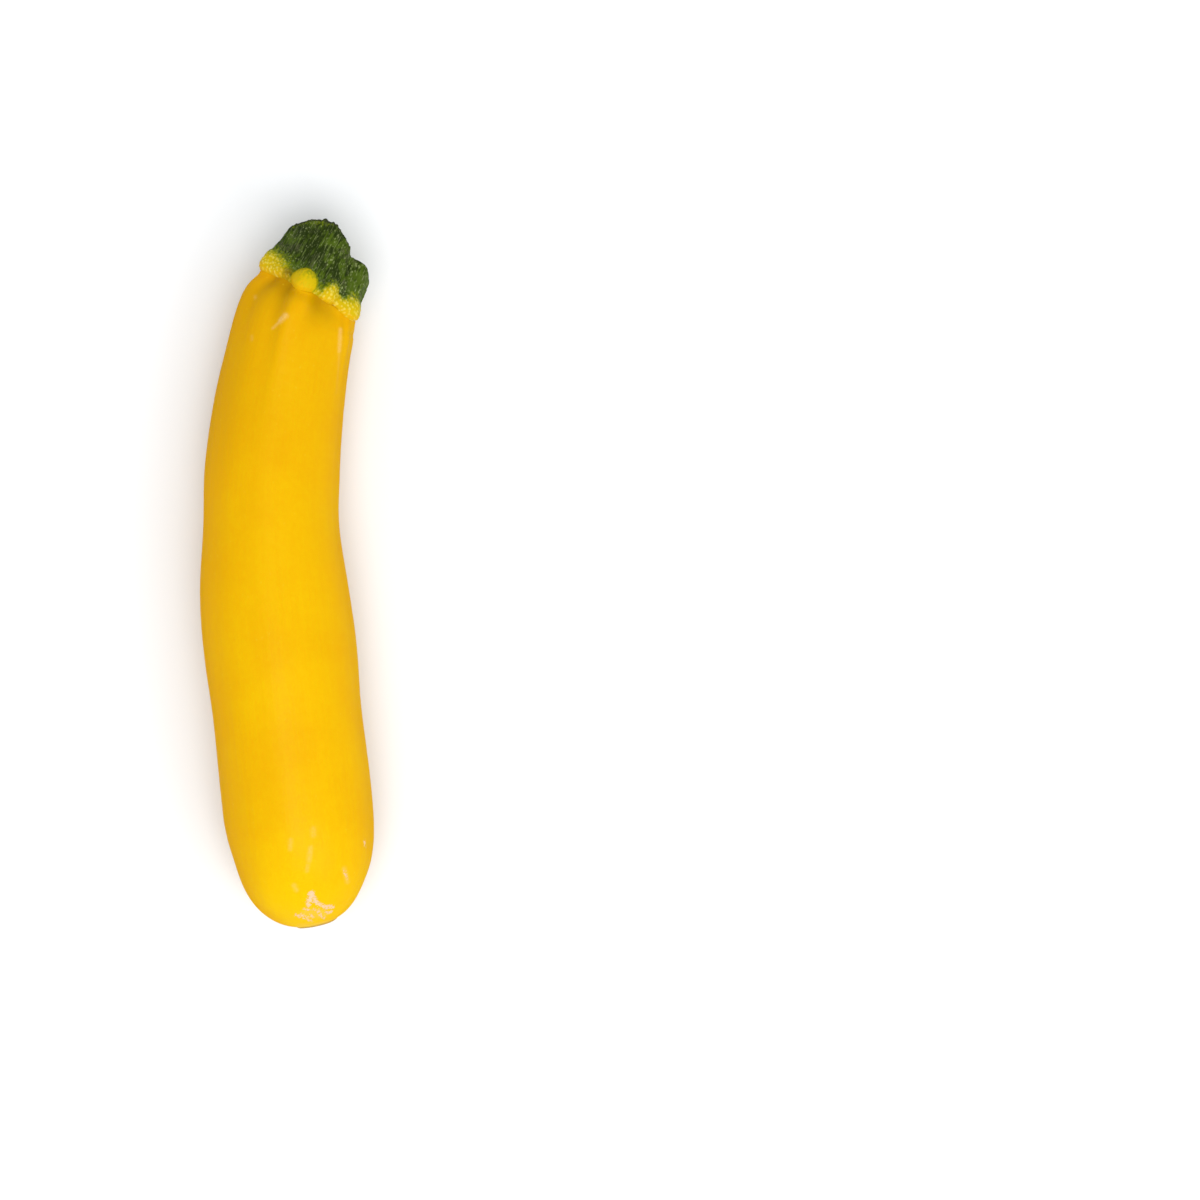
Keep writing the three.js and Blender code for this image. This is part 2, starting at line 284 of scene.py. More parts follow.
class Sheet:
    """A material's node tree, with short calls for the nodes that the finishes use."""

    def __init__(self, name: str) -> None:
        """Starts an empty material that ends in one Principled shader.

        Args:
            name: The material's name.
        """
        self.material = bpy.data.materials.new(name)
        self.material.use_nodes = True
        self.nodes = self.material.node_tree.nodes
        self.links = self.material.node_tree.links
        self.shader = self.nodes["Principled BSDF"]

    def node(
        self, kind: str, inputs: dict[str | int, Socket | float | Colour], **settings: object
    ) -> bpy.types.Node:
        """Adds a node.

        Args:
            kind: Its type name in Blender.
            inputs: Sockets to link or values to set, by socket name or number.
            **settings: The node's own properties.

        Returns:
            The node.
        """
        made = self.nodes.new(kind)
        for key, value in settings.items():
            setattr(made, key, value)
        for key, value in inputs.items():
            self.feed(made.inputs[key], value)
        return made

    def feed(self, target: Socket, value: Socket | float | Colour) -> None:
        """Links a socket to an input, or sets the input's own value.

        Args:
            target: The input.
            value: The socket, or the value; a colour is made opaque.
        """
        if isinstance(value, bpy.types.NodeSocket):
            self.links.new(value, target)
        elif isinstance(value, tuple) and len(target.default_value) == 4:
            target.default_value = (*value, 1.0)
        else:
            target.default_value = value

    def layer(self, layer: Layer) -> Socket:
        """What the mesh carries under a layer's name: a number, or for STRAIGHT a place."""
        output = "Vector" if layer is Layer.STRAIGHT else "Fac"
        return self.node("ShaderNodeAttribute", {}, attribute_name=layer.value).outputs[output]

    def scaled(self, place: Socket, scale: Colour) -> Socket:
        """A place with each of its directions multiplied by a number."""
        inputs = {"Vector": place, "Scale": scale}
        return self.node("ShaderNodeMapping", inputs).outputs["Vector"]

    def noise(self, place: Socket, scale: float, detail: float = 3.0, roughness: float = 0.55) -> Socket:
        """Cloudy noise from 0 to 1."""
        inputs = {"Vector": place, "Scale": scale, "Detail": detail, "Roughness": roughness}
        return self.node("ShaderNodeTexNoise", inputs).outputs["Fac"]

    def cells(self, place: Socket, scale: float, jitter: float = 1.0) -> Socket:
        """The distance to the nearest of scattered points, in cells."""
        inputs = {"Vector": place, "Scale": scale, "Randomness": jitter}
        return self.node("ShaderNodeTexVoronoi", inputs).outputs["Distance"]

    def step(self, value: Socket, low: float, high: float, start: float = 0.0, end: float = 1.0) -> Socket:
        """A smooth step from start at low to end at high."""
        inputs = {"Value": value, "From Min": low, "From Max": high, "To Min": start, "To Max": end}
        return self.node("ShaderNodeMapRange", inputs, interpolation_type="SMOOTHSTEP").outputs["Result"]

    def sum(self, *values: Socket | float) -> Socket:
        """Numbers added up."""
        return self.chain("ADD", values)

    def product(self, *values: Socket | float) -> Socket:
        """Numbers multiplied."""
        return self.chain("MULTIPLY", values)

    def chain(self, operation: str, values: tuple[Socket | float, ...]) -> Socket:
        """One maths operation worked through a row of numbers.

        Args:
            operation: Its name in Blender.
            values: The numbers, two or more.

        Returns:
            The result.
        """
        total = values[0]
        for value in values[1:]:
            total = self.node("ShaderNodeMath", {0: total, 1: value}, operation=operation).outputs[0]
        return total

    def mix(self, share: Socket, start: Socket | Colour, end: Socket | Colour) -> Socket:
        """A colour between two.

        Args:
            share: How much of the end there is, from 0 to 1.
            start: The colour at 0.
            end: The colour at 1.

        Returns:
            The colour.
        """
        made = self.node("ShaderNodeMix", {0: share}, data_type="RGBA")
        self.feed(made.inputs[6], start)
        self.feed(made.inputs[7], end)
        return made.outputs[2]

    def bump(self, height: Socket, millimetres: float, under: Socket | None = None) -> Socket:
        """A normal tilted by a height.

        Args:
            height: The height, from 0 to 1.
            millimetres: How much a height of 1 stands for.
            under: A normal that is tilted already, if there is one.

        Returns:
            The normal.
        """
        inputs = {"Height": height, "Distance": millimetres * MM, "Strength": 1.0}
        if under is not None:
            inputs["Normal"] = under
        return self.node("ShaderNodeBump", inputs).outputs["Normal"]

    def torn(self, layer: Layer, grain: Socket, most: float, low: float, high: float) -> Socket:
        """A layer's marks, torn by noise: a step of the marks and up to so much of it, kept inside them."""
        moved = self.sum(self.layer(layer), self.step(grain, 0.3, 0.7, -most, most))
        return self.product(self.step(moved, low, high), self.step(self.layer(layer), 0.02, 0.15))

    def finished(self, inputs: dict[str, Socket | float | Colour]) -> bpy.types.Material:
        """Fills the shader's inputs.

        Args:
            inputs: Sockets to link or values to set, by the names of the shader's inputs.

        Returns:
            The material.
        """
        for name, value in inputs.items():
            self.feed(self.shader.inputs[name], value)
        return self.material


@dataclass(frozen=True)
class WaxySkin:
    """Smooth yellow skin, amber to lemon, with faint streaks, pale pores, scuffs, a dry scar, painted
    highlights and painted shade.
    """

    amber: Colour = (0.658, 0.327, 0.0002)
    lemon: Colour = (0.705, 0.430, 0.0002)
    # Painted shade: the colour that darkens the hollows and the left side by the stem.
    shaded: Colour = (0.36, 0.185, 0.0002)
    pore: Colour = (0.70, 0.47, 0.02)
    # Pale strokes: the skin's own scratch, and painted highlights on a crest and at the tip.
    smear_and_highlight: Colour = (0.74, 0.47, 0.15)
    scuff: Colour = (0.72, 0.47, 0.30)
    scar: Colour = (0.46, 0.32, 0.16)
    scar_rim: Colour = (0.20, 0.13, 0.06)
    roughness: float = 0.36
    gloss: float = 0.035

    def ripe_colour(self, sheet: Sheet, straight: Socket, streaks: Socket, mottles: Socket) -> Socket:
        """The skin's colour: amber to lemon by its ripeness, with painted shade on its flanks, and by noise,
        then darker with painted shade in the hollows and by the stem.

        Args:
            sheet: The material's nodes.
            straight: The place on the straightened fruit.
            streaks: Noise drawn out along the fruit.
            mottles: Fine noise.

        Returns:
            The colour.
        """
        clouds = sheet.noise(straight, 0.045, 2.0)
        ripe = sheet.sum(
            sheet.layer(Layer.AGE),
            sheet.step(clouds, 0.3, 0.7, -0.12, 0.12),
            sheet.step(streaks, 0.35, 0.65, -0.03, 0.03),
            sheet.step(mottles, 0.35, 0.65, -0.04, 0.04),
        )
        colour = sheet.mix(sheet.step(ripe, 0.0, 1.0), self.amber, self.lemon)
        # Painted shade in the hollows and by the stem.
        return sheet.mix(sheet.product(sheet.layer(Layer.PAINTED_SHADE), 0.8), colour, self.shaded)

    def marked(self, sheet: Sheet, colour: Socket, grain: Socket, scuffs: Socket, scar: Socket) -> Socket:
        """A colour with the pale strokes of a scratch and of painted highlights, the scuffs and the corky
        scar with its dark rim laid over it.

        Args:
            sheet: The material's nodes.
            colour: What lies under them.
            grain: The noise that breaks them up.
            scuffs: Where the scuffs are.
            scar: Where the scar is.

        Returns:
            The colour.
        """
        smears_and_highlights = sheet.product(sheet.layer(Layer.SMEAR_AND_HIGHLIGHT), sheet.step(grain, 0.25, 0.65, 0.3, 1.0))
        colour = sheet.mix(smears_and_highlights, colour, self.smear_and_highlight)
        colour = sheet.mix(sheet.product(scuffs, 0.9), colour, self.scuff)
        corky = sheet.mix(sheet.step(grain, 0.3, 0.55), self.scar_rim, self.scar)
        colour = sheet.mix(scar, colour, corky)
        rim = sheet.product(sheet.layer(Layer.SCAR_RIM), sheet.step(grain, 0.3, 0.6, 0.35, 0.85))
        return sheet.mix(rim, colour, self.scar_rim)

    def material(self) -> bpy.types.Material:
        """Builds the skin's material.

        Returns:
            The material.
        """
        sheet = Sheet("courgette_skin")
        straight = sheet.layer(Layer.STRAIGHT)
        streaks = sheet.noise(sheet.scaled(straight, (0.8, 0.035, 0.8)), 1.0, 4.0)
        mottles = sheet.noise(straight, 0.55, 4.0, 0.6)
        grain = sheet.noise(straight, 1.7, 5.0, 0.65)
        few = sheet.step(sheet.noise(straight, 0.12, 2.0), 0.45, 0.62)
        pores = sheet.product(sheet.step(sheet.cells(straight, 0.45), 0.16, 0.05), few)
        scuffs = sheet.torn(Layer.SCUFF, grain, 0.50, 0.40, 0.62)
        scar = sheet.torn(Layer.SCAR, grain, 0.28, 0.36, 0.66)
        colour = self.ripe_colour(sheet, straight, streaks, mottles)
        colour = sheet.mix(sheet.product(pores, 0.35), colour, self.pore)
        wax = sheet.step(mottles, 0.3, 0.7, self.roughness - 0.05, self.roughness + 0.06)
        peel = sheet.bump(sheet.noise(straight, 1.1, 4.0, 0.5), 0.05)
        lines = sheet.bump(streaks, 0.10, peel)
        dots = sheet.bump(pores, 0.02, lines)
        cork = sheet.bump(sheet.product(grain, sheet.sum(scar, sheet.product(scuffs, 0.25))), 0.25, dots)
        facing = sheet.node("ShaderNodeLayerWeight", {"Blend": 0.5}).outputs["Facing"]
        return sheet.finished({
            "Base Color": self.marked(sheet, colour, grain, scuffs, scar),
            "Roughness": sheet.sum(wax, sheet.product(scuffs, 0.3), sheet.product(scar, 0.45)),
            "Normal": cork,
            "Subsurface Weight": 0.12,
            "Subsurface Radius": (1.0, 0.45, 0.08),
            "Subsurface Scale": 0.0015,
            "Specular IOR Level": sheet.step(facing, 0.2, 0.8, self.gloss, 0.05 * self.gloss),
        })


@dataclass(frozen=True)
class StemRind:
    """Dark green rind with pale flecks in rows, yellow granular knobs at its foot, and a dried pale cut."""

    dark: Colour = (0.014, 0.025, 0.001)
    green: Colour = (0.054, 0.089, 0.004)
    fleck: Colour = (0.25, 0.29, 0.11)
    leaf: Colour = (0.105, 0.140, 0.003)
    lime: Colour = (0.27, 0.26, 0.002)
    yellow: Colour = (0.53, 0.375, 0.001)
    orange: Colour = (0.62, 0.355, 0.001)
    granule: Colour = (0.76, 0.64, 0.12)
    # Painted shade: the colour of the gap between two knobs.
    shaded: Colour = (0.28, 0.11, 0.001)
    worn: Colour = (0.085, 0.085, 0.040)
    flesh: Colour = (0.42, 0.43, 0.17)
    dried: Colour = (0.20, 0.17, 0.07)
    bundle: Colour = (0.50, 0.46, 0.24)
    edge: Colour = (0.035, 0.040, 0.015)
    roughness: float = 0.50

    def flecks(self, sheet: Sheet, straight: Socket, streaks: Socket) -> Socket:
        """Where the pale flecks are: spots round scattered points, in rows and patches, larger where light is
        painted on the rind.

        Args:
            sheet: The material's nodes.
            straight: The place on the straightened stem.
            streaks: Noise drawn out along the stem.

        Returns:
            Shares from 0 to 1.
        """
        spots = sheet.sum(
            sheet.cells(sheet.scaled(straight, (1.45, 1.05, 1.45)), 1.0),
            sheet.step(sheet.noise(straight, 2.6, 3.0, 0.7), 0.3, 0.7, -0.16, 0.16),
            sheet.product(sheet.layer(Layer.PAINTED_LIGHT_AND_SHADE), -0.5),
        )
        rows = sheet.step(streaks, 0.38, 0.58, 0.35, 1.0)
        few = sheet.step(sheet.noise(straight, 0.45, 2.0), 0.36, 0.56, 0.35, 1.0)
        return sheet.product(sheet.step(spots, 0.38, 0.15), rows, few)

    def rind_colour(self, sheet: Sheet, straight: Socket, streaks: Socket, flecks: Socket) -> Socket:
        """The green of the ridges: dark to pale by noise and by painted light and shade, with pale lines,
        flecks and worn grey patches.

        Args:
            sheet: The material's nodes.
            straight: The place on the straightened stem.
            streaks: Noise drawn out along the stem.
            flecks: Where the flecks are.

        Returns:
            The colour.
        """
        green = sheet.sum(streaks, sheet.noise(straight, 0.35, 3.0), sheet.layer(Layer.PAINTED_LIGHT_AND_SHADE))
        colour = sheet.mix(sheet.step(green, 0.86, 1.16), self.dark, self.green)
        lines = sheet.noise(sheet.scaled(straight, (3.4, 0.22, 3.4)), 1.0, 3.0, 0.5)
        colour = sheet.mix(sheet.product(sheet.step(lines, 0.56, 0.70), 0.4), colour, self.fleck)
        # Flecks are brighter where light is painted on the rind.
        bright = sheet.sum(0.80, sheet.product(sheet.layer(Layer.PAINTED_LIGHT_AND_SHADE), 1.5))
        colour = sheet.mix(sheet.product(flecks, bright), colour, self.fleck)
        patches = sheet.noise(sheet.scaled(straight, (0.30, 0.20, 0.30)), 1.0, 3.0, 0.6)
        worn = sheet.product(sheet.step(patches, 0.54, 0.66), sheet.step(lines, 0.35, 0.6), 0.55)
        return sheet.mix(worn, colour, self.worn)

    def foot_colour(self, sheet: Sheet, colour: Socket, speckle: Socket) -> Socket:
        """A colour that turns from leaf green through lime and yellow to orange where the rind is yellow,
        then darker with painted shade between two knobs.

        Args:
            sheet: The material's nodes.
            colour: The green above the foot.
            speckle: The noise that breaks up the steps between the colours.

        Returns:
            The colour.
        """
        yellow = sheet.sum(sheet.layer(Layer.YELLOW), sheet.step(speckle, 0.3, 0.7, -0.16, 0.16))
        colour = sheet.mix(sheet.step(yellow, 0.10, 0.34), colour, self.leaf)
        colour = sheet.mix(sheet.step(yellow, 0.30, 0.60), colour, self.lime)
        colour = sheet.mix(sheet.step(yellow, 0.52, 0.92), colour, self.yellow)
        colour = sheet.mix(sheet.step(yellow, 1.0, 1.4), colour, self.orange)
        granules = sheet.product(sheet.step(sheet.layer(Layer.GRANULE), 0.1, 0.9), 0.5)
        tips = sheet.mix(sheet.step(yellow, 0.25, 0.8), self.fleck, self.granule)
        colour = sheet.mix(granules, colour, tips)
        # Painted shade between two knobs.
        return sheet.mix(sheet.layer(Layer.PAINTED_SHADE), colour, self.shaded)

    def cut_colour(self, sheet: Sheet, straight: Socket, grain: Socket) -> Socket:
        """The cut's face: dried pith, a ring of pale bundles and a dark edge.

        Args:
            sheet: The material's nodes.
            straight: The place on the straightened stem.
            grain: The noise between dried and fresh.

        Returns:
            The colour.
        """
        share = sheet.layer(Layer.CUT_SHARE)
        face = sheet.mix(sheet.step(grain, 0.35, 0.65), self.dried, self.flesh)
        bundles = sheet.step(sheet.cells(straight, 0.42, 0.8), 0.30, 0.16)
        ring = sheet.product(sheet.step(share, 0.42, 0.55), sheet.step(share, 0.86, 0.74))
        face = sheet.mix(sheet.product(bundles, ring, 0.8), face, self.bundle)
        return sheet.mix(sheet.step(share, 0.80, 0.97), face, self.edge)

    def material(self) -> bpy.types.Material:
        """Builds the rind's material.

        Returns:
            The material.
        """
        sheet = Sheet("courgette_stem")
        straight = sheet.layer(Layer.STRAIGHT)
        cut = sheet.layer(Layer.CUT)
        streaks = sheet.noise(sheet.scaled(straight, (1.5, 0.16, 1.5)), 1.0, 4.0, 0.6)
        speckle = sheet.noise(straight, 1.7, 3.0, 0.6)
        grain = sheet.noise(straight, 1.3, 4.0, 0.65)
        flecks = self.flecks(sheet, straight, streaks)
        colour = self.foot_colour(sheet, self.rind_colour(sheet, straight, streaks, flecks), speckle)
        dull = sheet.step(speckle, 0.3, 0.7, self.roughness - 0.07, self.roughness + 0.10)
        fibres = sheet.bump(streaks, 0.18)
        dots = sheet.bump(flecks, 0.05, fibres)
        pith = sheet.bump(sheet.product(grain, cut), 0.35, dots)
        return sheet.finished({
            "Base Color": sheet.mix(cut, colour, self.cut_colour(sheet, straight, grain)),
            "Roughness": sheet.sum(dull, sheet.product(cut, 0.25)),
            "Normal": sheet.bump(sheet.noise(straight, 3.2, 3.0), 0.05, pith),
            "Specular IOR Level": 0.06,
        })


@dataclass(frozen=True)
class PaleFloor:
    """A plain matt white floor."""

    colour: Colour = (0.795, 0.795, 0.795)
    roughness: float = 0.9

    def material(self) -> bpy.types.Material:
        """Builds the floor's material."""
        inputs = {"Base Color": self.colour, "Roughness": self.roughness, "Specular IOR Level": 0.0}
        return Sheet("floor_white").finished(inputs)


# ---- The courgette ---------------------------------------------------------------------------------------

MAIN_RIBS = (-66.0, -4.0, 62.0, 132.0, 208.0)
FAINT_RIBS = (-38.0, 24.0, 96.0, 170.0, 250.0)


@dataclass(frozen=True)
class Scuff:
    """A short dry mark on the fruit, from one place on its skin to another, as x, y and height."""

    start: tuple[float, float, float]
    end: tuple[float, float, float]
    half_width: float
    strength: float = 1.0

    def mask(self, points: Array) -> Array:
        """How much of each point the mark covers: a soft round-ended stroke, where height counts a third.

        Args:
            points: Places as [..., xyz].

        Returns:
            Shares from 0 to the strength.
        """
        weights = np.array([1.0, 1.0, 0.35])
        start, end = np.array(self.start) * weights, np.array(self.end) * weights
        run = end - start
        place = points * weights - start
        share = np.clip(place @ run / max(run @ run, 1e-9), 0.0, 1.0)
        away = np.linalg.norm(place - share[..., None] * run, axis=-1)
        return self.strength * ease(self.half_width * 1.9, self.half_width * 0.2, away)


@dataclass(frozen=True)
class Knob:
    """A rounded lump where a ridge of the stem starts: half of an ellipsoid, over the fruit's shoulder.

    Its middle, half height and bulge are in millimetres, and its drop is how far it reaches down over the
    fruit. Its colour may be granular or smooth, has a soft edge, and may sit a little round and above.
    """

    angle: float
    half_angle: float
    middle: float
    half_height: float
    bulge: float
    drop: float
    granular: float = 1.0
    softness: float = 0.5
    colour_turn: float = 0.0
    colour_rise: float = 0.0

    def away(self, angle: Array, length: Array) -> Array:
        """How far places are from the knob's middle, as a share of the way to its outline."""
        turn = turn_between(self.angle, angle) / self.half_angle
        return np.hypot(turn, (length - self.middle) / self.half_height)


KNOBS = (
    Knob(-60.0, 27.0, 2.2, 3.6, 0.7, 0.45, softness=0.7),
    Knob(-9.0, 16.5, 2.1, 2.7, 1.3, 1.25, granular=0.12, softness=0.22),
    Knob(27.0, 15.0, 2.1, 2.5, 0.9, 0.25, softness=0.5, colour_turn=3.0, colour_rise=0.2),
    Knob(60.0, 22.0, 1.6, 3.0, 1.1, 0.9, softness=0.6, colour_rise=0.45),
    Knob(98.0, 12.0, 2.6, 2.6, 0.6, 0.3),
    Knob(132.0, 18.0, 2.4, 3.2, 0.9, 1.2, granular=0.6),
    Knob(170.0, 13.0, 2.2, 2.6, 0.6, 0.2),
    Knob(208.0, 18.0, 2.4, 3.2, 0.9, 1.2, granular=0.7),
    Knob(250.0, 14.0, 2.6, 2.8, 0.7, 0.4),
)


@dataclass(frozen=True)
class Joint:
    """The leaning, scalloped face between the fruit and the stem."""

    rise: float = 1.2
    fade: float = 8.0
    knobs: tuple[Knob, ...] = KNOBS
    # Ridges and grooves in turn: angle, radius at the fruit, radius at the cut.
    outline: tuple[tuple[float, float, float], ...] = (
        (-68.0, 15.2, 13.4),
        (-53.0, 13.9, 13.5),
        (-38.0, 13.9, 13.0),
        (-25.0, 13.2, 12.4),
        (-10.0, 14.2, 11.8),
        (7.0, 12.9, 10.2),
        (24.0, 13.7, 8.9),
        (40.0, 12.2, 7.1),
        (60.0, 14.8, 10.9),
        (78.0, 14.4, 12.0),
        (96.0, 13.5, 11.8),
        (114.0, 12.4, 10.0),
        (132.0, 14.4, 12.4),
        (151.0, 12.9, 10.4),
        (170.0, 13.7, 11.4),
        (189.0, 12.7, 9.9),
        (208.0, 14.5, 12.4),
        (229.0, 12.6, 9.6),
        (250.0, 13.7, 11.6),
        (272.0, 13.8, 11.8),
    )

    def along(self, angle: Array, share: Array) -> Array:
        """Millimetres towards the stem: a plane that rises to the top, less a bell curve under each knob."""
        drops = sum(knob.drop * bells(angle, (knob.angle,), 0.8 * knob.half_angle) for knob in self.knobs)
        return self.rise * share * np.cos(np.radians(angle)) - drops * share**2

    def radii(self, angle: Array) -> Array:
        """The stem's radii, by a closed cubic through its ridges and grooves.

        Args:
            angle: Degrees round.

        Returns:
            The radius at the fruit and the radius at the cut, side by side.
        """
        table = np.array(self.outline)
        closed = np.vstack([table[-3:] - [360.0, 0.0, 0.0], table, table[:4] + [360.0, 0.0, 0.0]])
        wrapped = table[0, 0] + (angle - table[0, 0]) % 360.0
        return cubic_through(closed[:, 0], closed[:, 1:], wrapped)


@dataclass(frozen=True)
class FruitGrid:
    """Where the points of the fruit's grid are: a row for each ring and a column for each place round.

    It holds the stations with the half sizes there, the share of the radius, degrees round, the turn from the
    top, and the distances from both ends. What is the same all round a ring is one column wide.
    """

    stations: Stations
    halves: Array
    share: Array
    angle: Array
    from_top: Array
    from_stem: Array
    from_tip: Array


@dataclass
class Fruit:
    """The fruit's fine skin: the solid's own formula, with relief along its normals."""

    # From the stem to the blossom end: x, y, height of the middle, half width, half height.
    sections: tuple[tuple[float, ...], ...] = (
        (5.7, 74.6, 17.2, 12.8, 13.1),
        (3.6, 70.6, 17.2, 15.2, 14.8),
        (2.0, 66.3, 17.1, 15.9, 15.6),
        (0.0, 57.5, 17.0, 16.4, 16.2),
        (-2.4, 43.5, 16.9, 17.4, 17.0),
        (-4.0, 27.5, 17.5, 18.0, 17.8),
        (-4.2, 13.0, 18.3, 18.1, 18.6),
        (-3.4, -4.0, 19.0, 19.8, 19.3),
        (-1.7, -21.0, 19.5, 20.4, 19.8),
        (0.2, -38.0, 19.6, 20.0, 19.9),
        (2.2, -55.0, 19.5, 20.0, 19.8),
        (3.6, -71.0, 18.9, 19.9, 19.6),
        (3.6, -83.0, 18.3, 19.7, 19.7),
        (4.8, -94.7, 17.4, 20.3, 19.8),
    )
    offset: tuple[float, float, float] = (-0.086, 0.004, 0.0)
    # How far before and after a section its directions are measured, in sections.
    direction_step: float = 0.4
    round_end_length: float = 31.5
    round_end_power: float = 2.0
    # How many times the round end's length its curve is.
    round_end_curve: float = 1.27
    # Where the round end is squarer: angle, half width, how much more power.
    round_end_fuller: tuple[float, float, float] = (90.0, 60.0, 0.6)
    rib_half_width: float = 13.0
    rib_at_stem: float = 1.5
    rib_on_body: float = 0.3
    rib_fade: float = 10.0
    faint_share: float = 0.25
    joint: Joint = field(default_factory=Joint)
    neck_step: float = 0.2
    # Where the neck stands out further: angle, half width, how far.
    neck_fills: tuple[tuple[float, float, float], ...] = ((70.0, 25.0, 0.5), (41.0, 12.0, 1.0))
    neck_length: float = 2.0
    # Where the neck is longer: angle, half width, by how much.
    longer_neck: tuple[float, float, float] = (85.0, 50.0, 0.6)
    # A swelling just under the neck: angle, half width, distance from the stem, reach, height.
    shoulder: tuple[float, float, float, float, float] = (105.0, 50.0, 2.0, 1.7, 1.1)
    # Hollows under the stem, and swellings of less than no depth: angle, turn on the way down, half width,
    # depth, reach.
    hollows: tuple[tuple[float, float, float, float, float], ...] = (
        (-44.0, -10.0, 9.0, 0.7, 9.0),
        (-32.0, 2.0, 17.0, 1.3, 5.0),
        (-22.0, 6.0, 8.0, 0.8, 12.0),
        (-3.0, 0.0, 8.0, -0.5, 14.0),
        (15.0, 3.0, 12.0, 1.4, 6.0),
        (33.0, 1.0, 15.0, 0.9, 6.0),
        (85.0, 0.0, 30.0, -0.2, 7.0),
        (170.0, 0.0, 18.0, 1.0, 9.0),
        (250.0, 4.0, 20.0, 1.2, 9.0),
    )
    # The distance over which the hollows and the crease turn.
    turn_fade: float = 6.0
    # A fine crease down from the stem: angle at the stem, angle further down, depth, half width, fade.
    crease: tuple[float, float, float, float, float] = (53.0, 62.0, 0.42, 2.6, 11.0)
    # The crest beside it: height, turn from the crease, half width, distance from the stem, reach.
    crest: tuple[float, float, float, float, float] = (0.30, 5.0, 3.6, 9.0, 11.0)
    # A keel on top of the rib under the stem: height, and how far down it reaches.
    keel: tuple[float, float] = (0.45, 22.0)
    # Where less painted shade lies on the skin by the neck: angle, half width, by how much.
    unshaded_neck: tuple[float, float, float] = (-60.0, 16.0, 0.35)
    swell: float = 0.10
    dimple: float = 0.05
    # Dimples in a turn, and millimetres between them along.
    dimple_cells: tuple[int, float] = (26, 4.6)
    scuff_height: float = 0.06
    # The flower scar, off to one side of the tip and below it: place, radius, depth, lip and middle.
    scar_place: tuple[float, float] = (3.1, -1.7)
    scar_radius: float = 4.3
    scar_depth: float = 0.9
    scar_lip: float = 0.35
    scar_button: float = 0.45
    # The waves of the scar's outline: how many round, how deep as a share of the radius, turn in radians.
    scar_waves: tuple[tuple[float, float, float], ...] = ((2.0, 0.07, 1.0), (5.0, 0.04, 2.0))
    scar_zone: float = 12.0
    around: int = 224
    # Grid spacing in millimetres near the stem, on the body and near the tip.
    spacing: tuple[float, float, float] = (0.30, 0.60, 0.36)
    fine_length: float = 26.0
    rings_in_disc: int = 8
    # How many places along the middle line its length is added up from.
    length_steps: int = 4001
    scuffs: tuple[Scuff, ...] = (
        Scuff((7.3, -85.2, 33.8), (6.3, -88.2, 32.1), 0.70),
        Scuff((7.5, -86.2, 33.2), (8.6, -88.0, 31.8), 0.60),
        Scuff((8.6, -88.0, 31.8), (11.8, -89.2, 29.6), 0.62),
        Scuff((10.8, -89.0, 30.2), (12.4, -89.0, 29.4), 0.75),
        Scuff((5.2, -89.5, 31.1), (6.6, -90.0, 30.5), 0.50, 0.70),
        Scuff((4.2, -91.3, 28.2), (5.7, -92.1, 26.8), 0.55, 0.60),
        Scuff((7.8, -89.4, 29.6), (8.8, -90.0, 28.6), 0.50, 0.62),
        Scuff((9.2, -91.0, 27.2), (10.2, -91.9, 25.4), 0.50, 0.60),
        Scuff((6.0, -92.4, 26.3), (6.7, -92.8, 25.3), 0.45, 0.58),
        Scuff((2.7, -91.1, 28.3), (3.7, -91.5, 27.9), 0.50, 0.56),
        Scuff((11.0, -90.5, 26.8), (12.1, -90.3, 26.4), 0.45, 0.58),
        Scuff((6.9, -91.1, 28.0), (7.3, -91.6, 27.2), 0.45, 0.58),
        Scuff((15.8, -79.0, 32.7), (16.5, -81.4, 31.1), 0.38, 0.72),
        Scuff((21.3, -71.4, 28.7), (21.4, -72.8, 28.1), 0.42, 0.60),
    )
    # Pale strokes: the first two are the scratch by the stem, the skin's own; the next two are a painted
    # highlight on the crest right of the crease; then pale flecks near the tip and by the stem; the last
    # three are a painted sheen at the tip, beside the scar's dark rim.
    smears_and_highlights: tuple[Scuff, ...] = (
        Scuff((-3.2, 65.2, 32.8), (-0.4, 67.6, 33.4), 0.34, 0.60),
        Scuff((-1.0, 67.1, 33.3), (0.4, 68.4, 33.5), 0.60, 0.85),
        Scuff((14.8, 65.2, 27.2), (14.4, 59.2, 26.9), 0.42, 0.58),
        Scuff((14.4, 59.0, 26.9), (13.7, 48.0, 26.4), 0.34, 0.22),
        Scuff((7.9, -67.8, 38.5), (7.9, -69.4, 38.3), 0.60, 0.28),
        Scuff((1.9, -70.7, 38.6), (1.8, -73.2, 38.1), 0.45, 0.34),
        Scuff((7.1, -72.8, 38.0), (6.7, -76.2, 37.2), 0.52, 0.38),
        Scuff((6.4, -77.4, 37.0), (6.1, -79.0, 36.5), 0.45, 0.28),
        Scuff((2.6, -83.0, 35.1), (3.2, -84.2, 34.5), 0.55, 0.34),
        Scuff((15.8, -78.6, 32.8), (16.6, -82.2, 30.5), 0.52, 0.40),
        Scuff((-8.1, 74.0, 26.9), (-8.0, 73.4, 27.2), 0.34, 0.28),
        Scuff((-8.8, 63.2, 30.1), (-8.8, 62.2, 30.4), 0.34, 0.20),
        Scuff((5.4, -90.8, 29.0), (9.6, -90.8, 27.8), 1.20, 0.22),
        Scuff((3.6, -94.2, 22.4), (6.8, -94.4, 21.6), 0.75, 0.20),
        Scuff((6.8, -94.4, 21.6), (10.8, -93.2, 20.6), 0.80, 0.26),
    )

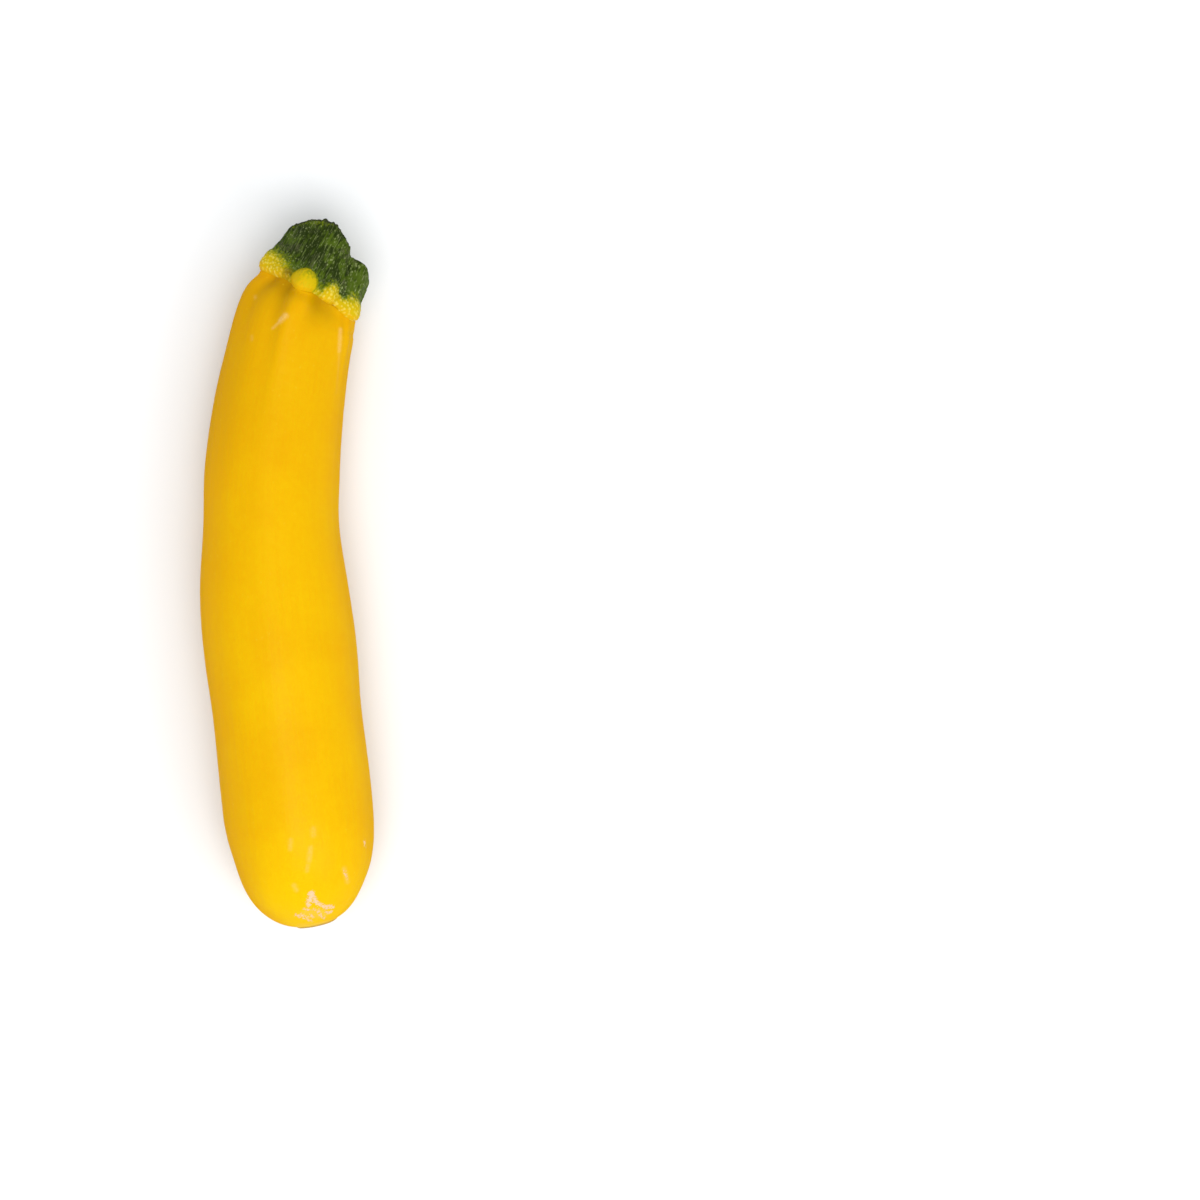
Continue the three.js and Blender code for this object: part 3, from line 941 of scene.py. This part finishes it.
    def stations(self, number: Array) -> tuple[Stations, Array]:
        """The middle line at section numbers, whole or not.

        The directions come from the straight line between two places a little before and after each number,
        which keeps the bend even.

        Args:
            number: Section numbers from 0 at the stem.

        Returns:
            The stations, and the half width and half height at each.
        """
        knots = np.arange(len(self.sections), dtype=float)
        values = np.array(self.sections)
        step = self.direction_step
        here = cubic_through(knots, values, number)
        before = cubic_through(knots, values, np.maximum(number - step, 0.0))
        after = cubic_through(knots, values, np.minimum(number + step, knots[-1]))
        along = before[:, :3] - after[:, :3]
        along /= np.linalg.norm(along, axis=1, keepdims=True)
        side = np.cross(along, np.array([0.0, 0.0, 1.0]))
        side /= np.linalg.norm(side, axis=1, keepdims=True)
        middle = here[:, :3] + np.array(self.offset)
        return Stations(middle, side, np.cross(side, along), along), here[:, 3:]

    def rings(self) -> tuple[Array, Array]:
        """The rings of the grid: across the stem end, then down the side and round the blossom end.

        On the round end a ring's distance from the tip is the length times 1 - cos(t)^(2 / power), so that
        rings stay evenly spaced over its curve.

        Returns:
            Section numbers, and the share of the radius at each.
        """
        last = len(self.sections) - 1.0
        table = np.linspace(0.0, last, self.length_steps)
        middles = self.stations(table)[0].middle
        travelled = np.concatenate([[0.0], np.cumsum(np.linalg.norm(np.diff(middles, axis=0), axis=1))])
        body = travelled[-1] - self.round_end_length
        near_stem, on_body, near_tip = self.spacing
        fine = np.linspace(0.0, self.fine_length, round(self.fine_length / near_stem))
        plain = np.linspace(self.fine_length, body, round((body - self.fine_length) / on_body))
        curve = self.round_end_curve * self.round_end_length
        turn = np.linspace(math.pi / 2, 0.0, round(curve / near_tip))
        from_tip = self.round_end_length * (1.0 - np.cos(turn) ** (2.0 / self.round_end_power))
        lengths = np.concatenate([fine, plain[1:], (travelled[-1] - from_tip)[1:]])
        numbers = np.interp(lengths, travelled, table)
        disc = np.linspace(0.0, 1.0, self.rings_in_disc + 1)[:-1]
        shares = np.concatenate([disc, np.ones(len(numbers))])
        return np.concatenate([np.zeros(len(disc)), numbers]), shares

    def grid(self) -> FruitGrid:
        """Works out where the points are before the formulas move them.

        Returns:
            The grid.
        """
        numbers, shares = self.rings()
        stations, halves = self.stations(numbers)
        angle = np.linspace(0.0, 360.0, self.around, endpoint=False)
        middle = stations.middle
        from_stem, from_tip = (np.linalg.norm(middle - middle[end], axis=1)[:, None] for end in (0, -1))
        from_top = turn_between(0.0, angle)
        return FruitGrid(stations, halves, shares[:, None], angle, from_top, from_stem, from_tip)

    def hollow(self, grid: FruitGrid) -> Array:
        """How deep the hollows are: bell curves round the turn, which turn and die away down the fruit.

        Args:
            grid: The grid.

        Returns:
            The depth at each point, in millimetres.
        """
        lean = 1.0 - np.exp(-grid.from_stem / self.turn_fade)
        return sum(
            depth * bells(grid.angle - drift * lean, (at,), wide) * np.exp(-((grid.from_stem / reach) ** 1.3))
            for at, drift, wide, depth, reach in self.hollows
        )

    def radius(self, grid: FruitGrid, hollow: Array) -> Array:
        """How far the surface is from the middle line, before the fine relief.

        The body is an oval and its ribs, less the hollows. By the stem it eases, by a bell curve, into a neck
        a step smaller than the stem's own outline, less half the hollows, over a swelling shoulder. The round
        end multiplies it by a superellipse: (1 - (1 - distance from the tip / length)^power)^(1 / power).

        Args:
            grid: The grid.
            hollow: The hollows' depth there.

        Returns:
            The radius at each point, in millimetres.
        """
        angle, turn = grid.angle, np.radians(grid.angle)[None]
        width, height = grid.halves[:, :1], grid.halves[:, 1:]
        oval = width * height / np.hypot(height * np.sin(turn), width * np.cos(turn))
        rib_height = self.rib_on_body + self.rib_at_stem * np.exp(-grid.from_stem / self.rib_fade)
        ribs = bells(angle, MAIN_RIBS, self.rib_half_width)
        ribs = ribs + self.faint_share * bells(angle, FAINT_RIBS, self.rib_half_width)
        body = oval + rib_height * ribs - hollow
        fills = sum(far * bells(angle, (at,), wide) for at, wide, far in self.neck_fills)
        neck = self.joint.radii(angle)[:, 0] - self.neck_step + fills - 0.5 * hollow
        at, wide, more = self.longer_neck
        neck_share = bell(grid.from_stem, 0.0, self.neck_length + more * bells(angle, (at,), wide))
        at, wide, down, reach, high = self.shoulder
        shoulder = high * bells(angle, (at,), wide) * bell(grid.from_stem, down, reach)
        at, wide, more = self.round_end_fuller
        power = self.round_end_power + more * bells(angle, (at,), wide)
        inwards = np.maximum(1.0 - grid.from_tip / self.round_end_length, 0.0)
        round_end = np.maximum(1.0 - inwards**power, 0.0) ** (1.0 / power)
        return grid.share * (body + (neck - body) * neck_share + shoulder) * round_end

    def from_scar(self, grid: FruitGrid, points: Array) -> Array:
        """How far points near the tip are from the scar's middle, where its uneven outline is at 1.

        Args:
            grid: The grid.
            points: The points on the surface.

        Returns:
            The distance as a share of the way to the outline, without limit away from the tip.
        """
        place = points - grid.stations.middle[-1]
        across = place @ grid.stations.side[-1] - self.scar_place[0]
        above = place @ grid.stations.up[-1] - self.scar_place[1]
        turn = np.arctan2(above, across)
        uneven = 1.0 + sum(deep * np.sin(waves * turn + start) for waves, deep, start in self.scar_waves)
        away = np.hypot(across, above) / (self.scar_radius * uneven)
        return np.where(grid.from_tip < self.scar_zone, away, np.inf)

    def ridge_relief(self, grid: FruitGrid) -> Array:
        """The crease under the stem, the crest beside it and the keel on the rib, as heights.

        The crease and its crest are bell curves round the turn that die away down the fruit. The keel rises
        steeply on its left and falls gently on its right, ever more so further down.

        Args:
            grid: The grid.

        Returns:
            Heights in millimetres.
        """
        start, end, depth, half_width, fade = self.crease
        from_crease = grid.from_top - (end - (end - start) * np.exp(-grid.from_stem / self.turn_fade))
        crease = depth * bell(from_crease, 0.0, half_width) * np.exp(-grid.from_stem / fade)
        high, beside, half_width, down, reach = self.crest
        crest = high * bell(from_crease, beside, half_width) * bell(grid.from_stem, down, reach)
        high, reach = self.keel
        steep_side = ease(-14.0, -7.0, grid.from_top)
        gentle_side = ease(12.0 + 2.0 * np.minimum(grid.from_stem, 15.0), -4.0, grid.from_top)
        return crest - crease + high * steep_side * gentle_side * bell(grid.from_stem, 0.0, reach)

    def skin_relief(self, grid: FruitGrid) -> Array:
        """The skin's slight swells, less its dimples, as heights that die away at the tip.

        Args:
            grid: The grid.

        Returns:
            Heights in millimetres.
        """
        swell = self.swell * ripples(11, grid.angle, grid.from_stem, 4, 34.0)
        cells, apart = self.dimple_cells
        pits = cell_bumps(5, grid.angle[None] * cells / 360.0, grid.from_stem / apart, cells, 0.42)
        return swell * ease(0.0, 12.0, grid.from_tip) - self.dimple * pits**2 * ease(2.0, 20.0, grid.from_tip)

    def scar_relief(self, from_scar: Array) -> Array:
        """The scar's lip, a bell curve, and its small middle, a smooth step, less its sunken face, another.

        Args:
            from_scar: The distance from the scar's middle, where its outline is at 1.

        Returns:
            Heights in millimetres.
        """
        lip = self.scar_lip * bell(from_scar, 1.14, 0.14)
        button = self.scar_button * ease(0.32, 0.10, from_scar)
        return lip + button - self.scar_depth * ease(1.05, 0.55, from_scar)

    def age(self, grid: FruitGrid) -> Array:
        """How lemon the skin is: more towards the tip, its own colour, and more on top than on the flanks,
        where painted shade makes it amber, most on the left; in smooth steps.

        Args:
            grid: The grid.

        Returns:
            Shares from 0 to 1.
        """
        age = 0.34 + 0.12 * ease(150.0, 55.0, grid.from_tip) + 0.10 * ease(34.0, 18.0, grid.from_tip)
        age = age + 0.30 * ease(20.0, 6.0, grid.from_tip)
        # Painted shade: the flanks are more amber than the top, the left one most.
        return age * (1.0 - 0.8 * ease(-20.0, -75.0, grid.from_top) - 0.4 * ease(20.0, 75.0, grid.from_top))

    def shade(self, grid: FruitGrid, hollow: Array) -> Array:
        """How dark the painted shade makes the skin: in the hollows, and on the left side towards the stem,
        less by the neck.

        Args:
            grid: The grid.
            hollow: The hollows' depth there.

        Returns:
            Shares from 0 to 1.
        """
        # Painted shade on the left side towards the stem, added to the painted shade in the hollows.
        shade = 0.10 * ease(60.0, 25.0, grid.from_stem) * (1.0 + 1.5 * ease(-15.0, -60.0, grid.from_top))
        at, wide, less = self.unshaded_neck
        bright = less * bells(grid.angle, (at,), wide) * ease(6.0, 2.0, grid.from_stem)
        return np.clip(ease(0.0, 1.8, hollow) + shade - bright, 0.0, 1.0)

    def surface(self) -> Rings:
        """The skin as rings of points with its layers.

        The points stand at their radius round the middle line and, by the stem, as far along as the joint.
        The relief moves them along the surface's normal, and what would be under the ground is pressed flat.

        Returns:
            The rings, from the tip to the stem, so that the faces look outwards.
        """
        grid = self.grid()
        hollow = self.hollow(grid)
        radius = self.radius(grid, hollow)
        joint = self.joint.along(grid.angle, grid.share) * np.exp(-grid.from_stem / self.joint.fade)
        points = grid.stations.point(radius, grid.angle, joint)
        turn = np.radians(grid.angle)[None]
        straight = (radius * np.sin(turn), -grid.from_stem, radius * np.cos(turn))
        on_top = ease(-2.0, 1.0, points[..., 2] - grid.stations.middle[:, None, 2])
        marks = np.max([scuff.mask(points) for scuff in self.scuffs], axis=0) * on_top
        # Pale strokes: the scratch, and painted highlights and sheen.
        smears_and_highlights = np.max([smear_and_highlight.mask(points) for smear_and_highlight in self.smears_and_highlights], axis=0) * on_top
        from_scar = self.from_scar(grid, points)
        relief = self.ridge_relief(grid) + self.skin_relief(grid) + self.scar_relief(from_scar)
        relief = relief + self.scuff_height * marks
        rim, disc = self.rings_in_disc, slice(self.rings_in_disc)
        moved = grid_normals(points[rim:]) * relief[rim:, :, None]
        points[rim:] += moved
        points[disc] += moved[:1] * grid.share[disc, :, None] ** 2
        points[..., 2] = np.maximum(points[..., 2], 0.0)
        layers = {
            Layer.STRAIGHT: np.stack(np.broadcast_arrays(*straight), axis=-1),
            Layer.SCUFF: marks,
            Layer.SMEAR_AND_HIGHLIGHT: smears_and_highlights,
            Layer.SCAR: ease(1.30, 0.70, from_scar),
            Layer.SCAR_RIM: bell(from_scar, 1.14, 0.20),
            # Painted shade in the hollows and by the stem.
            Layer.PAINTED_SHADE: self.shade(grid, hollow),
            # How lemon the skin is, with painted shade on the flanks.
            Layer.AGE: self.age(grid),
        }
        return Rings(points[::-1], {layer: values[::-1] for layer, values in layers.items()})

    def build(self) -> bpy.types.Object:
        """Makes the skin's piece, which stands for the fruit's solid.

        Returns:
            The piece.
        """
        piece = self.surface().piece("fruit_skin", WaxySkin().material())
        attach(piece, "root")
        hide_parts("fruit")
        return piece


@dataclass(frozen=True)
class StemGrid:
    """Where the points of the stem's grid are: a row for each ring and a column for each place round.

    It holds degrees round, the share of the radius, the share of the way up the side, 1 on the cut's face and
    0 elsewhere, where the foot is, the length along, the outline's radius, and the distances above the foot
    and to the cut's edge. What is the same all round a ring is one column wide.
    """

    angle: Array
    share: Array
    way_up: Array
    on_cut: Array
    foot: Array
    length: Array
    outer: Array
    above_foot: Array
    near_rim: Array


@dataclass
class Stem:
    """The stump of the stem: ridges, knobs over the fruit's shoulder and a slanting cut."""

    fruit: Fruit = field(default_factory=Fruit)
    length_below: float = 5.2
    length_above: float = 18.7
    cut_half_width: float = 12.8
    cut_curve: float = 1.8
    bend: float = 0.75
    # How far the foot reaches into the fruit at its edge, and how much further in its middle.
    sink: tuple[float, float] = (0.15, 1.0)
    # Round the foot, a swelling: height, how far up it is, reach.
    foot_swell: tuple[float, float, float] = (0.2, 0.8, 1.6)
    # The groove under it: depth, reach.
    foot_groove: tuple[float, float] = (0.45, 0.4)
    knob_lift: float = 1.2
    # Where the side is fuller: angle, half width, length, height.
    belly: tuple[float, float, float, float] = (-66.0, 20.0, 9.0, 0.6)
    striation: float = 0.14
    granule: float = 0.2
    # Granules in a turn, and millimetres between them along.
    granule_cells: tuple[int, float] = (116, 0.78)
    rolled_edge: float = 0.3
    # How far the cut's face is sunk inside its rim, and how much further in its middle.
    cut_depths: tuple[float, float] = (0.9, 1.2)
    tuft: float = 0.16
    # How far the cut's edge waves.
    edge_wave: float = 0.12
    # A torn shred on the cut's edge: angle, half width, length.
    nub: tuple[float, float, float] = (-24.0, 2.5, 0.5)
    # A groove that is less yellow than the knobs beside it: angle, half width, by how much.
    green_groove: tuple[float, float, float] = (45.0, 5.0, 0.5)
    # A yellow glow under the cut's edge: angle, half width, how yellow.
    edge_glow: tuple[float, float, float] = (-35.0, 26.0, 0.26)
    # Painted shade in the gap between two knobs: angle, half width, how dark.
    painted_gap_shade: tuple[float, float, float] = (-32.0, 7.5, 0.50)
    # Painted light and shade on the rind: lighter on the lit right side, darker on the shaded far left and in
    # two
    # patches, where it is less than nothing: angle, half width, by how much, and the heights above the foot
    # between which that sets in.
    painted_sides: tuple[tuple[float, float, float, float, float], ...] = (
        (78.0, 34.0, 0.16, -9.0, -8.0),
        (-28.0, 24.0, -0.10, 3.0, 6.0),
        (22.0, 9.0, -0.16, 9.0, 5.5),
        (-84.0, 13.0, -0.50, 3.0, 6.0),
    )
    around: int = 500
    rings_in_foot: int = 6
    rings_up: int = 116
    rings_in_cut: int = 53

    def stations(self, length: Array) -> Stations:
        """The stem's middle line: an arc that turns down by the bend each millimetre.

        Args:
            length: Millimetres from the fruit.

        Returns:
            The stations.
        """
        end, _ = self.fruit.stations(np.zeros(1))
        bend_radius = 1.0 / math.radians(self.bend)
        turn = (length / bend_radius)[:, None]
        middle = end.middle + end.along * bend_radius * np.sin(turn)
        middle = middle + end.up * bend_radius * (np.cos(turn) - 1.0)
        up = end.up * np.cos(turn) + end.along * np.sin(turn)
        along = end.along * np.cos(turn) - end.up * np.sin(turn)
        return Stations(middle, np.repeat(end.side, len(length), axis=0), up, along)

    def cut_length(self, above: Array) -> Array:
        """The stem's length up to its cut: from the shortest below to the longest above, by a power curve."""
        across = np.maximum((above / self.cut_half_width + 1.0) / 2.0, 0.0)
        return self.length_below + (self.length_above - self.length_below) * across**self.cut_curve

    def rings(self) -> tuple[Array, Array, Array]:
        """The rings of the grid: across the foot, up the side and across the cut.

        Returns:
            The share of the radius, the share of the way up, and 1 on the cut's face and 0 elsewhere.
        """
        foot = np.linspace(0.0, 1.0, self.rings_in_foot + 1)[:-1]
        side = np.linspace(0.0, 1.0, self.rings_up)
        cut = np.linspace(1.0, 0.0, self.rings_in_cut + 1)[1:]
        share = np.concatenate([foot, np.ones_like(side), cut])
        way_up = np.concatenate([np.zeros_like(foot), side, np.ones_like(cut)])
        on_cut = np.concatenate([np.zeros(len(foot) + len(side)), np.ones_like(cut)])
        return share[:, None], way_up[:, None], on_cut[:, None]

    def grid(self) -> StemGrid:
        """Works out where the points are before the relief, inside an outline from the fruit to the cut.

        Returns:
            The grid.
        """
        angle = np.linspace(0.0, 360.0, self.around, endpoint=False)
        level = np.cos(np.radians(angle))[None]
        share, way_up, on_cut = self.rings()
        at_fruit, at_cut = self.fruit.joint.radii(angle).T
        joint = self.fruit.joint.along(angle, share)
        at_edge, in_middle = self.sink
        foot = joint - at_edge - in_middle * (1.0 - share**6)
        length = foot + (self.cut_length(at_cut * level) - foot) * way_up
        outer = at_fruit + (at_cut - at_fruit) * np.clip(length / self.length_above, 0.0, 1.0)
        near_rim = self.cut_length(outer * level) - length
        return StemGrid(angle, share, way_up, on_cut, foot, length, outer, length - joint, near_rim)

    def bulges(self, grid: StemGrid) -> Array:
        """How far the side stands out: at the knobs, where it is fuller, and round the foot.

        A knob is (1 - distance from its middle^2)^0.6 high. The fuller side is a bell curve round the turn
        and half a sine wave along. The swelling round the foot and the groove under it are bell curves.

        Args:
            grid: The grid.

        Returns:
            Heights in millimetres.
        """
        domes = np.zeros_like(grid.length)
        for knob in self.fruit.joint.knobs:
            away = knob.away(grid.angle, grid.length)
            dome = self.knob_lift * knob.bulge * np.maximum(1.0 - away**2, 0.0) ** 0.6
            domes = np.maximum(domes, dome)
        at, wide, end, high = self.belly
        belly = high * bells(grid.angle, (at,), wide) * np.sin(math.pi * np.clip(grid.length / end, 0.0, 1.0))
        high, up, reach = self.foot_swell
        swell = high * bell(grid.above_foot, up, reach) * (1.0 - grid.on_cut)
        deep, reach = self.foot_groove
        return belly + domes + (swell - deep * bell(np.maximum(grid.above_foot, 0.0), 0.0, reach))

    def paint(self, grid: StemGrid) -> tuple[Array, Array]:
        """Where the rind is yellow and where it is granular.

        Both grow towards the foot and take each knob's own value over the knob. The yellow is warmer below
        the middle of a knob, less in the groove on the right, and a little under the cut's edge on the left.

        Args:
            grid: The grid.

        Returns:
            How yellow, from 0 for green to over 1 for orange, and how granular, from 0 to 1.
        """
        angle, length, above_foot = grid.angle, grid.length, grid.above_foot
        yellow = 0.34 * ease(3.6, 1.4, above_foot) + 0.45 * ease(1.4, 0.3, above_foot)
        rough = 0.30 + 0.45 * ease(4.5, 2.0, above_foot)
        for knob in self.fruit.joint.knobs:
            turned = angle - knob.colour_turn
            above = knob.away(turned, length - knob.colour_rise)
            below = knob.away(turned, np.maximum(length, knob.middle))
            cover = ease(1.0 + knob.softness, 1.0 - knob.softness, above)
            cover = np.maximum(cover, ease(1.15, 0.75, below) * (length < knob.middle))
            warm = 0.75 * ease(1.0, -0.9, (length - knob.middle) / knob.half_height)
            yellow = np.maximum(yellow, (0.62 + warm) * cover)
            rough = rough * (1.0 - cover) + knob.granular * cover
        at, wide, less = self.green_groove
        yellow = yellow - less * bells(angle, (at,), wide) * ease(1.5, 3.2, above_foot)
        at, wide, glow = self.edge_glow
        return np.maximum(yellow, glow * (bell(grid.near_rim, 1.1, 0.8) * bells(angle, (at,), wide))), rough

    def painted_light_and_shade(self, grid: StemGrid) -> Array:
        """How much lighter the rind is, as painted light and shade: bell curves round the turn that set in by
        smooth steps along it.

        Args:
            grid: The grid.

        Returns:
            What to add to the noise between dark and pale green.
        """
        return sum(
            more * bells(grid.angle, (at,), wide) * ease(low, high, grid.above_foot)
            for at, wide, more, low, high in self.painted_sides
        )

    def beads(self, grid: StemGrid) -> Array:
        """The rind's granules, small bumps that are larger in some places than in others.

        Args:
            grid: The grid.

        Returns:
            Heights from 0 to 1.
        """
        cells, apart = self.granule_cells
        small = cell_bumps(8, grid.angle[None] * cells / 360.0, grid.length / apart, cells, 0.62, 1.0)
        return small * (0.5 + 0.5 * cell_bumps(9, grid.angle[None] * 31 / 360.0, grid.length / 2.6, 31, 0.9))

    def cut_relief(self, grid: StemGrid) -> Array:
        """How far along the cut's face and edge stand out, sunk inside the rim and torn by the knife.

        Args:
            grid: The grid.

        Returns:
            Millimetres along the stem.
        """
        share = grid.share
        inside_rim, in_middle = self.cut_depths
        dish = grid.on_cut * (inside_rim * ease(1.0, 0.80, share) + in_middle * ease(0.42, 0.0, share))
        fibres = self.tuft * cell_bumps(14, grid.angle[None] * 40 / 360.0, share * 9.0, 40, 0.6)
        tufts = grid.on_cut * fibres * ease(0.98, 0.85, share)
        wave = self.edge_wave * ripples(41, grid.angle, 3.0 * share, 9, 3.0) * ease(0.9, 1.0, grid.way_up)
        at, wide, shred = self.nub
        nub = shred * bells(grid.angle, (at,), wide) * ease(0.94, 1.0, grid.way_up) * share**8
        return tufts - dish + (wave + nub) * ease(0.2, 1.0, share)

    def surface(self) -> Rings:
        """The stem as rings of points with its layers: its hidden foot, its side and the face of its cut.

        Fine ridges run along the side: many cosines round the turn that hardly change along it. It ends in a
        rolled edge, and the cut's face inside it has the same slant all over.

        Returns:
            The rings, from the foot to the middle of the cut.
        """
        grid = self.grid()
        turn = np.radians(grid.angle)[None]
        side = 1.0 - grid.on_cut
        yellow, rough = self.paint(grid)
        granules = self.beads(grid) * rough * side
        lines = ripples(31, grid.angle * 7.0, 0.05 * grid.length, 11, 5.0)
        ridges = self.striation * np.tanh(1.4 * lines) * (1.0 - 0.8 * np.clip(yellow, 0.0, 1.0)) * side
        radius = grid.share * (grid.outer + self.bulges(grid) + ridges + self.granule * granules)
        full = self.cut_length(radius * np.cos(turn))
        reach = grid.foot + (full - grid.foot) * grid.way_up
        radius = radius - self.rolled_edge * (ease(1.0, 0.0, full - reach) * side) ** 2
        reach = reach + self.cut_relief(grid)
        bent = self.stations(reach.ravel())
        middle, up, beside = (part.reshape(*reach.shape, 3) for part in (bent.middle, bent.up, bent.side))
        out = up * np.cos(turn)[..., None] + beside * np.sin(turn)[..., None]
        straight = (radius * np.sin(turn), grid.length, radius * np.cos(turn))
        # Painted shade in the gap between two knobs at the foot.
        at, wide, gap_darkness = self.painted_gap_shade
        gap = gap_darkness * bells(grid.angle, (at,), wide) * ease(3.0, 1.2, grid.above_foot)
        layers = {
            Layer.STRAIGHT: np.stack(np.broadcast_arrays(*straight), axis=-1),
            Layer.YELLOW: yellow * side,
            Layer.GRANULE: granules,
            Layer.PAINTED_LIGHT_AND_SHADE: self.painted_light_and_shade(grid),
            Layer.PAINTED_SHADE: gap * side,
            Layer.CUT: np.maximum(grid.on_cut, ease(1.0, 0.35, grid.near_rim)),
            Layer.CUT_SHARE: np.broadcast_to(grid.share, reach.shape),
        }
        return Rings(middle + out * radius[..., None], layers)

    def build(self) -> bpy.types.Object:
        """Makes the stem's piece, which stands for the stem's solid.

        Returns:
            The piece.
        """
        piece = self.surface().piece("stem_stump", StemRind().material())
        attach(piece, "root")
        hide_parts("stem")
        return piece


# ---- The studio ------------------------------------------------------------------------------------------


@dataclass(frozen=True)
class SoftBox:
    """A large round light that faces a point."""

    name: str
    place: tuple[float, float, float]
    size: float
    power: float

    def build(self, target: Vector) -> None:
        """Adds the light.

        Args:
            target: What it faces.
        """
        light = bpy.data.lights.new(self.name, "AREA")
        light.shape, light.size, light.energy = "DISK", self.size, self.power
        lamp = bpy.data.objects.new(self.name, light)
        lamp.location = self.place
        lamp.rotation_euler = (target - Vector(self.place)).to_track_quat("-Z", "Y").to_euler()
        bpy.context.scene.collection.objects.link(lamp)


@dataclass
class Studio:
    """A white floor, soft light mostly from the lower right, and a camera straight above."""

    floor_half_size: float = 3.0
    # How far the floor is under what stands on it.
    floor_drop: float = 0.05 * MM
    sky: float = 0.845
    sky_colour: Colour = (0.94, 0.97, 1.0)
    lamps: tuple[SoftBox, ...] = (
        SoftBox("softbox_right", (0.9, -0.9, 1.3), 1.1, 8.95),
        SoftBox("softbox_top", (0.0, -0.42, 1.38), 1.0, 11.2),
    )
    lamp_target: tuple[float, float, float] = (0.0, 0.0, 0.02)
    camera_place: tuple[float, float, float] = (0.0839, -0.0071, 1.806)
    lens: float = 200.0
    sensor: float = 36.0

    def build(self) -> None:
        """Adds the floor, the light and the camera."""
        half = self.floor_half_size
        mesh = bpy.data.meshes.new("floor")
        corners = [(-half, -half), (half, -half), (half, half), (-half, half)]
        mesh.from_pydata([(x, y, -self.floor_drop) for x, y in corners], [], [(0, 1, 2, 3)])
        mesh.materials.append(PaleFloor().material())
        floor = bpy.data.objects.new("floor", mesh)
        bpy.context.scene.collection.objects.link(floor)
        world = bpy.data.worlds.new("sky")
        world.use_nodes = True
        background = world.node_tree.nodes["Background"]
        background.inputs["Color"].default_value = (*self.sky_colour, 1.0)
        background.inputs["Strength"].default_value = self.sky
        bpy.context.scene.world = world
        for lamp in self.lamps:
            lamp.build(Vector(self.lamp_target))
        data = bpy.data.cameras.new("camera")
        data.lens, data.sensor_width = self.lens, self.sensor
        camera = bpy.data.objects.new("camera", data)
        camera.location = self.camera_place
        bpy.context.scene.collection.objects.link(camera)
        bpy.context.scene.camera = camera
        bpy.context.scene.view_settings.view_transform = "Standard"


def main() -> None:
    """Builds the studio, the fruit and the stem in turn."""
    logging.basicConfig(level=logging.INFO, format="%(name)s: %(message)s")
    Studio().build()
    for part in (Fruit(), Stem()):
        piece = part.build()
        log.info("%s: %d faces", piece.name, len(piece.data.polygons))


if __name__ == "__main__":
    main()
